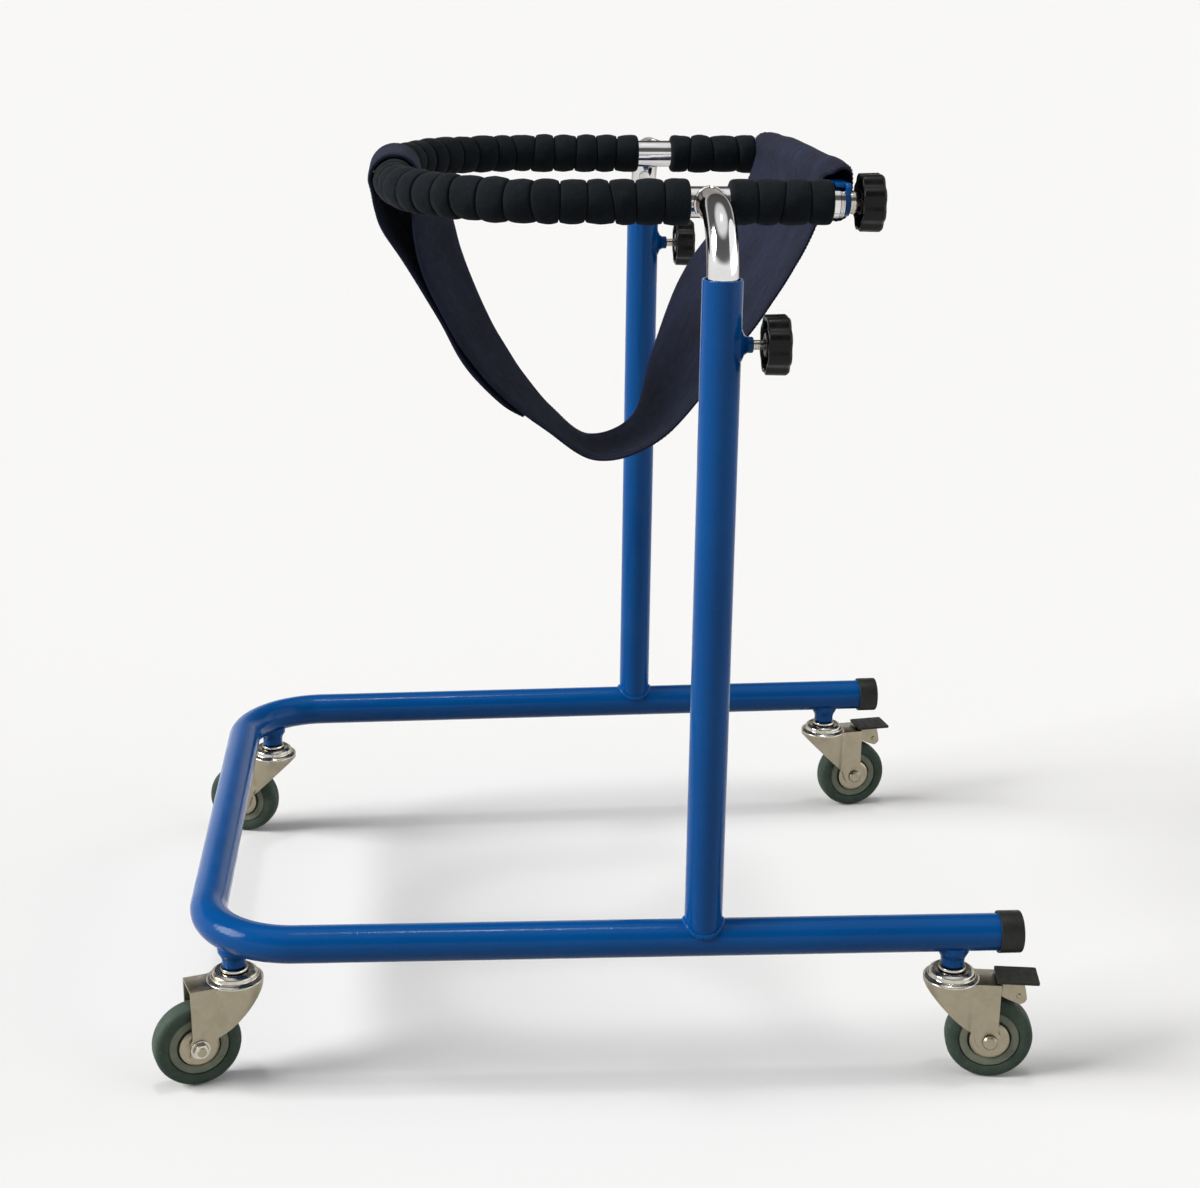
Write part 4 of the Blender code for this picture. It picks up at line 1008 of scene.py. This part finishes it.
def axle_mesh():
    """The dust covers and the bolt as one mesh, and the washer and the nut as another."""
    inner = FORK_HALF_WIDTH - SHEET - GAP
    outer = FORK_HALF_WIDTH + GAP
    cover = COVER_RADIUS
    disc = softened([
        (AXLE_RADIUS, inner - 0.0014), (AXLE_RADIUS, inner), (0.0075, inner),
        (0.0090, inner - 0.0003), (cover - 0.0022, inner - 0.0003), (cover, inner - 0.0016),
        (cover, inner - 0.0026), (cover - 0.0014, inner - 0.0022),
    ], 0.0005, True)
    covers = [lathe([(r, way * h) for r, h in disc], 64, closed=True) for way in (1, -1)]
    bolt = lathe(softened([
        (0, outer + 0.0065), (0.0036, outer + 0.0065), (AXLE_RADIUS, outer + 0.0058),
        (AXLE_RADIUS, -outer), (0.0068, -outer), (0.0066, -outer - 0.0014),
        (0.0050, -outer - 0.0030), (0, -outer - 0.0036),
    ], 0.0006, steps=4), 40)
    seat = outer + 0.0009
    washer = lathe(softened([
        (0.0041, outer), (0.0085, outer), (0.0085, seat), (0.0041, seat),
    ], 0.0003, True), 40, closed=True)
    hexagon = arc(0, 0, 0.0070, 0, 300, 5)
    crown = lathe(softened([
        (0, outer + 0.0060), (0.0050, outer + 0.0060), (0.0076, outer + 0.0040),
        (0.0076, outer), (0, outer),
    ], 0.0002), 48)
    nut = boolean(prism(hexagon, seat, outer + 0.0050), [("INTERSECT", crown)])
    lying = rotate(-90, "X")
    return moved(joined(*covers, bolt), lying), moved(joined(washer, nut), lying)


def lever_mesh():
    """The brake's arm, with the pin that it turns on and its rivet."""
    px, pz = LEVER_PIVOT.x, LEVER_PIVOT.z
    outline = [
        (px - 0.0012, pz - 0.0015), (0.0470, 0.0767), (0.0540, 0.0738),
        *arc(0.0585, 0.0780, 0.0058, -95, 15, 8),
        (0.0628, 0.0860), (0.0610, LEVER_TOP), (FORK_REAR_X + 0.0015, LEVER_TOP),
        (FORK_REAR_X + 0.0010, pz + 0.0030), (px - 0.0012, pz + 0.0015),
    ]
    arm = boolean(prism(outline, -LEVER_HALF_WIDTH, LEVER_HALF_WIDTH, rotate(90, "X")), [])
    pin = cylinder(0.0020, FORK_HALF_WIDTH - SHEET - GAP, 24, stood_y(px, 0, pz))
    rivet = softened([
        (0, 0.0103), (0.0016, 0.0101), (0.0024, LEVER_HALF_WIDTH),
        (0.0024, -LEVER_HALF_WIDTH), (0.0016, -0.0101), (0, -0.0103),
    ], 0.0005)
    rivet = lathe(rivet, 24, stood_y(0.0575, 0, 0.0800))
    return moved(joined(arm, pin, rivet), Matrix.Translation(-LEVER_PIVOT))


def pedal_mesh():
    """The plain black foot plate."""
    start, end, half = 0.0375, 0.0735, 0.0150
    outline = softened([(start, -half), (end, -half), (end, half), (start, half)],
                       0.0020, True, 4)
    plate = boolean(prism(outline, PEDAL_TOP - PEDAL_THICKNESS, PEDAL_TOP), [])
    return moved(plate, Matrix.Translation(-LEVER_PIVOT))


def casters():
    pin, socket, fork, race = pin_mesh(), socket_mesh(), fork_mesh(), race_mesh()
    rim, tyre = rim_mesh(), tyre_mesh()
    axle, nut = axle_mesh()
    lever, pedal = lever_mesh(), pedal_mesh()
    for word, side in SIDES.items():
        for end, x, y, turn in (
            ("rear", REAR_SWIVEL_X, REAR_SWIVEL_Y, REAR_TURN),
            ("front", FRONT_SWIVEL_X, FRONT_SWIVEL_Y, FRONT_TURN),
        ):
            which = "%s_%s" % (end, word)
            swivel, wheel, brake = "swivel_" + which, "wheel_" + which, "brake_" + which
            under = shift(x, side * y, 0)
            place = under @ rotate(side * turn, "Z")
            hub = place @ shift(CASTER_TRAIL, 0, WHEEL_RADIUS)
            spun = hub @ rotate(-90, "X")
            stand_in("socket_" + which, socket, "frame", BLUE, place=under)
            stand_in("caster_pin_" + which, pin, "frame", BRIGHT, place=under)
            stand_in("fork_" + which, fork, swivel, ZINC, place=place)
            show("race_" + which, race, swivel, BRIGHT, place=place)
            stand_in("axle_" + which, axle, swivel, ZINC, place=hub)
            show("axle_nut_" + which, nut, swivel, BRIGHT, place=hub)
            stand_in("rim_" + which, rim, wheel, WHEEL, place=spun)
            stand_in("tyre_" + which, tyre, wheel, RUBBER, place=spun)
            if end == "rear":
                pivot = place @ Matrix.Translation(LEVER_PIVOT)
                stand_in("brake_lever_" + which, lever, brake, ZINC, place=pivot)
                stand_in("brake_pedal_" + which, pedal, brake, CAP, place=pivot, sharp=12)


# Sling

def arc_rows(x, drop, radius, first, last, halves):
    """Rows of the given half widths round an arc between two angles in degrees, where 0 points
    to the rear and 90 up."""
    spots = arc(x, -drop, radius, first, last, len(halves) - 1)
    return [(along, -up, half, 0, 0) for (along, up), half in zip(spots, halves)]


def strap_rows(*places):
    """Rows of the plain strap, from X, drop and lead."""
    return [(x, drop, STRAP_HALF, lead, 0) for x, drop, lead in places]


def sling_rows():
    """Rows along the strip: X of the middle, its drop below the ring's centreline, half width,
    how far the right edge leads the left edge along X, and how far the middle bellies out."""
    seam_to_ring = strap_rows(
        (-0.0435, 0.2108, 0.016), (-0.0814, 0.1700, 0.030), (-0.1147, 0.1100, 0.035),
        (-0.1377, 0.0700, 0.036), (-0.1570, 0.0420, 0.034), (-0.1725, 0.0250, 0.015))
    over_ring = arc_rows(RING_FRONT_X, 0, LOOP_RADIUS, 205, -20, [STRAP_HALF] * 9)
    down_to_seat = strap_rows(
        (-0.1330, 0.0320, 0.030), (-0.1246, 0.0700, 0.037), (-0.1082, 0.1100, 0.036),
        (-0.0872, 0.1500, 0.032), (-0.0582, 0.1900, 0.024), (-0.0264, 0.2200, 0.010),
        (0.0130, 0.2470, 0))
    up_to_bar = [
        (0.0610, 0.2308, STRAP_HALF + 0.004, -0.010, 0.003),
        (0.0930, 0.1768, STRAP_HALF + 0.023, -0.034, 0.008),
        (0.1290, 0.1038, STRAP_HALF + 0.074, -0.036, 0.010),
        (0.1700, 0.0420, HEM_HALF - 0.012, -0.008, 0.004),
    ]
    top = -HEM_RISE - HEM_HALF_HEIGHT
    foot = -HEM_RISE + HEM_HALF_HEIGHT
    front_ply = [(BAR_X - HEM_RADIUS, foot, HEM_HALF, 0, 0)]
    over_bar = arc_rows(BAR_X, top, HEM_RADIUS, 180, 0, HEM_HALVES_OVER_BAR)
    under_bar = arc_rows(BAR_X, foot, HEM_RADIUS, 0, -110, [HEM_HALF] * 4)
    return seam_to_ring + over_ring + down_to_seat + up_to_bar + front_ply + over_bar + under_bar


def smooth_rows(rows, spacing):
    """Rows at about even spacing on a smooth curve through the given rows."""
    dense = []
    for i in range(len(rows) - 1):
        around = [rows[max(i - 1, 0)], rows[i], rows[i + 1], rows[min(i + 2, len(rows) - 1)]]
        before, start, end, after = [Vector(row) for row in around]
        steps = 16
        for k in range(steps):
            t = k / steps
            dense.append(0.5 * (
                2 * start
                + (end - before) * t
                + (2 * before - 5 * start + 4 * end - after) * t ** 2
                + (3 * start - before - 3 * end + after) * t ** 3
            ))
    dense.append(Vector(rows[-1]))
    lengths = lengths_along([Vector((row[0], 0, row[1])) for row in dense])
    count = round(lengths[-1] / spacing)
    chosen = []
    for i in range(count + 1):
        k, share = locate(lengths, lengths[-1] * i / count)
        chosen.append(dense[k].lerp(dense[k + 1], share))
    return chosen, lengths[-1]


def hem_slack(v, over):
    """How the hem shifts over the bar, where v runs from -1 at the left to 1 at the right. It
    sinks towards the right end, which is also drawn in, and swells near the left end."""
    slack = max(0.0, v - 0.70) / 0.30
    droop = 0.0090 * (max(0.0, v - 0.15) / 0.85) ** 1.2 + 0.0070 * slack ** 1.5
    swell = 0.0018 * sin(pi * min(1.0, (v + 1) * 2.2)) ** 2
    sink = HEM_DROOP * (1 - exp(-droop / HEM_DROOP))
    return Vector((0, -0.018 * slack ** 2, swell - sink)) * over


class Strip:
    """The sling's middle surface in rows and columns, and its thickness and direction there."""

    def __init__(self):
        self.rows, self.length = smooth_rows(sling_rows(), ROW_SPACING)
        for i in range(SEAM_ROWS):
            self.rows[i][2] -= 0.016 * (1 - i / SEAM_ROWS) ** 2
        self.last = len(self.rows) - 1
        self.grid = [self.line(i) for i in range(self.last + 1)]

    def line(self, i):
        """The points of one row, with its belly and its small folds."""
        x, drop, half, lead, belly = self.rows[i]
        after, before = self.rows[min(i + 1, self.last)], self.rows[max(i - 1, 0)]
        along = Vector((after[0] - before[0], 0, before[1] - after[1])).normalized()
        down = Vector((along.z, 0, -along.x))
        calm = min(1.0, abs(drop) / 0.05) * min(1.0, half / 0.05)
        points = []
        for k in range(COLUMNS + 1):
            u = 2 * k / COLUMNS - 1
            v = sin(pi / 2 * u) * 0.35 + u * 0.65
            wave = noise.noise(Vector((i * 0.035, v * half * 22, 4.0)))
            cross = noise.noise(Vector((i * 0.10, v * half * 9, 9.0)))
            fold = (0.0011 * wave + 0.0009 * cross) * calm
            place = Vector((x + v * lead / 2, v * half, RING_HEIGHT - drop))
            if x > 0.15 and drop < 0:
                place += hem_slack(v, min(1.0, -drop / 0.020))
            points.append(place + down * (belly * (1 - v * v) + fold))
        return points

    def normal(self, i, k):
        ahead, behind = self.grid[min(i + 1, self.last)][k], self.grid[max(i - 1, 0)][k]
        right, left = self.grid[i][min(k + 1, COLUMNS)], self.grid[i][max(k - 1, 0)]
        return (ahead - behind).cross(right - left).normalized()

    def thickness(self, i, k):
        """Padded in the middle, thin at the edges, with a groove under the stitches."""
        side = self.rows[i][2] * (1 - abs(2 * k / COLUMNS - 1))
        edge = min(side, min(i, self.last - i) * self.length / self.last)
        rise = min(1.0, edge / 0.012)
        groove = 0.0006 * exp(-((edge - STITCH_INSET) / 0.0014) ** 2)
        return CLOTH_EDGE + (CLOTH_PAD - CLOTH_EDGE) * rise * (2 - rise) - groove

    def flat_place(self, i, k):
        """Where a point lies in the strip's flat pattern."""
        return (self.rows[i][2] * (2 * k / COLUMNS - 1), self.length * i / self.last)

    def face_point(self, i, share, way):
        """A point just above one face, a share of the way across, and the direction out."""
        k = share * COLUMNS
        low = int(min(k, COLUMNS - 1))
        place = self.grid[i][low].lerp(self.grid[i][low + 1], k - low)
        out = self.normal(i, min(round(k), COLUMNS)) * way
        return place + out * (self.thickness(i, round(k)) / 2 + 0.00005), out


def cloth_mesh(strip):
    """The cloth as one closed form, with its flat pattern as its texture's places."""
    bm = bmesh.new()
    laid = bm.loops.layers.uv.new("UVMap")

    def layer(way):
        return [[
            bm.verts.new(strip.grid[i][k] + strip.normal(i, k) * way * strip.thickness(i, k) / 2)
            for k in range(COLUMNS + 1)
        ] for i in range(strip.last + 1)]

    def quad(corners, places):
        face = bm.faces.new(corners)
        for loop, place in zip(face.loops, places):
            loop[laid].uv = place

    front, back = layer(1), layer(-1)
    for verts, way in ((front, 1), (back, -1)):
        for i in range(strip.last):
            for k in range(COLUMNS):
                ring = [(i, k), (i, k + 1), (i + 1, k + 1), (i + 1, k)][::way]
                quad([verts[a][b] for a, b in ring], [strip.flat_place(a, b) for a, b in ring])
    last = strip.last
    border = [(i, 0) for i in range(last)] + [(last, k) for k in range(COLUMNS)]
    border += [(i, COLUMNS) for i in range(last, 0, -1)] + [(0, k) for k in range(COLUMNS, 0, -1)]
    for (a, b), (c, d) in zip(border, border[1:] + border[:1]):
        u, v = strip.flat_place(a, b)
        w, z = strip.flat_place(c, d)
        quad([front[a][b], back[a][b], back[c][d], front[c][d]],
             [(u, v), (u + 0.002, v), (w + 0.002, z), (w, z)])
    bmesh.ops.recalc_face_normals(bm, faces=bm.faces)
    mesh = bpy.data.meshes.new("cloth")
    bm.to_mesh(mesh)
    bm.free()
    return mesh


def stitching(strip):
    """A line of stitches along each edge of the strip, one at its hem and two at its seam, on
    both faces."""
    points = []

    def stitch(a, b, out):
        """One stitch, sunk at its two ends."""
        middle = (a + b) / 2 + out * 0.00022
        across = (b - a).normalized().cross(out).normalized()
        for place, radius in (
            (a - out * 0.0002, 0.00010), (a.lerp(middle, 0.6), 0.00026), (middle, 0.00030),
            (b.lerp(middle, 0.6), 0.00026), (b - out * 0.0002, 0.00010),
        ):
            points.extend(ring_of(place, across, out, radius, 6))

    for way in (1, -1):
        for edge in (-1, 1):
            for i in range(1, strip.last - 1):
                share = (1 + edge * (1 - STITCH_INSET / strip.rows[i][2])) / 2
                a, out = strip.face_point(i, share, way)
                b, _ = strip.face_point(i + 1, share, way)
                stitch(a.lerp(b, 0.12), a.lerp(b, 0.88), out)
        for i in (2, 9, strip.last - 2):
            steps = int(strip.rows[i][2] * 2 / STITCH_SPACING)
            for n in range(steps):
                a, out = strip.face_point(i, 0.04 + 0.92 * (n + 0.1) / steps, way)
                b, _ = strip.face_point(i, 0.04 + 0.92 * (n + 0.9) / steps, way)
                stitch(a, b, out)
    rings, sides = 5, 6
    one = skin(rings, sides, looped=False)
    faces = []
    for start in range(0, len(points), rings * sides):
        faces += [tuple(start + n for n in face) for face in one]
    mesh = bpy.data.meshes.new("stitching")
    mesh.from_pydata([tuple(p) for p in points], [], faces)
    return mesh


def sling():
    """One strip of padded cloth, with its edges sewn down and wrinkled a little by its weight."""
    form = Strip()
    strip = stand_in("sling", cloth_mesh(form), "ring", CLOTH, sharp=60)
    seams = show("sling_stitching", stitching(form), "ring", THREAD, sharp=180)


# Studio

def floor():
    """A pale floor. Seen straight or in metal it is near white, and it throws less light back."""
    bpy.ops.mesh.primitive_circle_add(vertices=96, radius=75, fill_type="NGON")
    ground = bpy.context.object
    ground.name = "floor"
    s = Surface("floor", (0.20, 0.195, 0.19), 0.9, specular_ior_level=0.0)
    rays = s.node("ShaderNodeLightPath").outputs
    seen = s.maths("MAXIMUM", rays["Is Camera Ray"], rays["Is Glossy Ray"])
    seen = s.maths("MAXIMUM", seen, rays["Is Transmission Ray"])
    s.patches(0.6, 3, 0.35, 0.7, (0.19, 0.186, 0.18))
    s.tint(seen, (0.955, 0.948, 0.938))
    ground.data.materials.append(s.material)


def lights():
    """A broad sun from the closed end, weak ones from the open end and overhead, and a sky that
    is pale near the horizon and overhead and dim between, as in a studio with a lit ceiling."""
    world = bpy.data.worlds.new("studio")
    bpy.context.scene.world = world
    world.use_nodes = True
    tree = world.node_tree
    background = tree.nodes["Background"].inputs
    place = add_node(tree, "ShaderNodeTexCoord").outputs["Generated"]
    height = add_node(tree, "ShaderNodeSeparateXYZ", {0: place}).outputs["Z"]
    ramp = add_node(tree, "ShaderNodeValToRGB", {"Fac": height})
    diffuse = add_node(tree, "ShaderNodeLightPath").outputs["Is Diffuse Ray"]
    links = {"Value": diffuse, "To Min": 1.0, "To Max": 0.66}
    level = add_node(tree, "ShaderNodeMapRange", links).outputs["Result"]
    tree.links.new(ramp.outputs["Color"], background["Color"])
    tree.links.new(level, background["Strength"])
    stops = ((0.0, 0.94), (0.28, 0.94), (0.40, 0.12), (0.80, 0.10), (0.90, 0.80), (1.0, 0.90))
    while len(ramp.color_ramp.elements) < len(stops):
        ramp.color_ramp.elements.new(0.5)
    for element, (position, grey) in zip(ramp.color_ramp.elements, stops):
        element.position = position
        element.color = (grey, grey, grey, 1)
    for name, strength, spread, position in (
        ("key", 3.2, 30, (-1.6, -0.16, 0.95)),
        ("fill", 1.0, 70, (1.6, -0.15, 0.5)),
        ("top", 0.3, 6, (0.0, 0.05, 1.0)),
    ):
        lamp = bpy.data.lights.new(name, "SUN")
        lamp.energy = strength
        lamp.angle = radians(spread)
        sun = bpy.data.objects.new(name, lamp)
        bpy.context.scene.collection.objects.link(sun)
        sun.rotation_mode = "QUATERNION"
        sun.rotation_quaternion = Vector(position).to_track_quat("Z", "Y")


def camera():
    """The photograph's camera: its angles in radians, its lens from a focal length in pixels."""
    pitch, yaw, roll = 0.3066, 0.0908, -0.0131
    focal_pixels, picture_width, sensor_width = 2049.5, 1200, 36
    forward = Vector((sin(yaw) * cos(pitch), cos(yaw) * cos(pitch), -sin(pitch)))
    level = Vector((cos(yaw), -sin(yaw), 0))
    below = forward.cross(level)
    right = level * cos(roll) + below * sin(roll)
    down = below * cos(roll) - level * sin(roll)
    data = bpy.data.cameras.new("camera")
    data.sensor_width = sensor_width
    data.sensor_fit = "HORIZONTAL"
    data.lens = focal_pixels / picture_width * sensor_width
    data.clip_end = 300
    obj = bpy.data.objects.new("camera", data)
    bpy.context.scene.collection.objects.link(obj)
    turn = Matrix((right, -down, -forward)).transposed().to_4x4()
    obj.matrix_world = shift(-0.1446, -1.8385, 0.9328) @ turn
    bpy.context.scene.camera = obj


# Putting it together

slot_names = {row["node"]: row["material_slot"] for row in frame["record"]["subparts"]}
for node in frame["nodes"].values():
    node.data.materials.clear()
    node.data.materials.append(BY_SLOT[slot_names[node.name]].material)

base()
stand_in("ring_tube", swept(ring_path(RING_END_X), STEM_RADIUS), "ring", CHROME)
for word, side in SIDES.items():
    upright(word, side)
    end_cap(word, side)
    stem(word, side)
    arm_insert(word, side)
rear_bar()
foams()
casters()
sling()

knob = knob_mesh()
for word, side in SIDES.items():
    y = side * UPRIGHT_Y
    bare = UPRIGHT_X + TUBE_RADIUS + BOSS_LENGTH - 0.003
    stud("clamp_stud_" + word, "clamp_screw_" + word, UPRIGHT_X + STEM_RADIUS + GAP,
         CLAMP_KNOB_X, y, CLAMP_HEIGHT, bare)
    stand_in("clamp_knob_" + word, knob, "clamp_handle_" + word, PLASTIC,
             place=stood_x(CLAMP_KNOB_X, y, CLAMP_HEIGHT))
stud("bar_stud", "bar_screw", BAR_STUD_TIP_X, BAR_KNOB_X, -RING_HALF_WIDTH, RING_HEIGHT,
     LUG_FACE, (LUG_FACE + GAP, LUG_FACE + GAP + BAR_COLLAR))
stand_in("bar_knob", knob, "bar_handle", PLASTIC,
         place=stood_x(BAR_KNOB_X, -RING_HALF_WIDTH, RING_HEIGHT))

floor()
lights()
camera()
bpy.context.scene.view_settings.view_transform = "Standard"
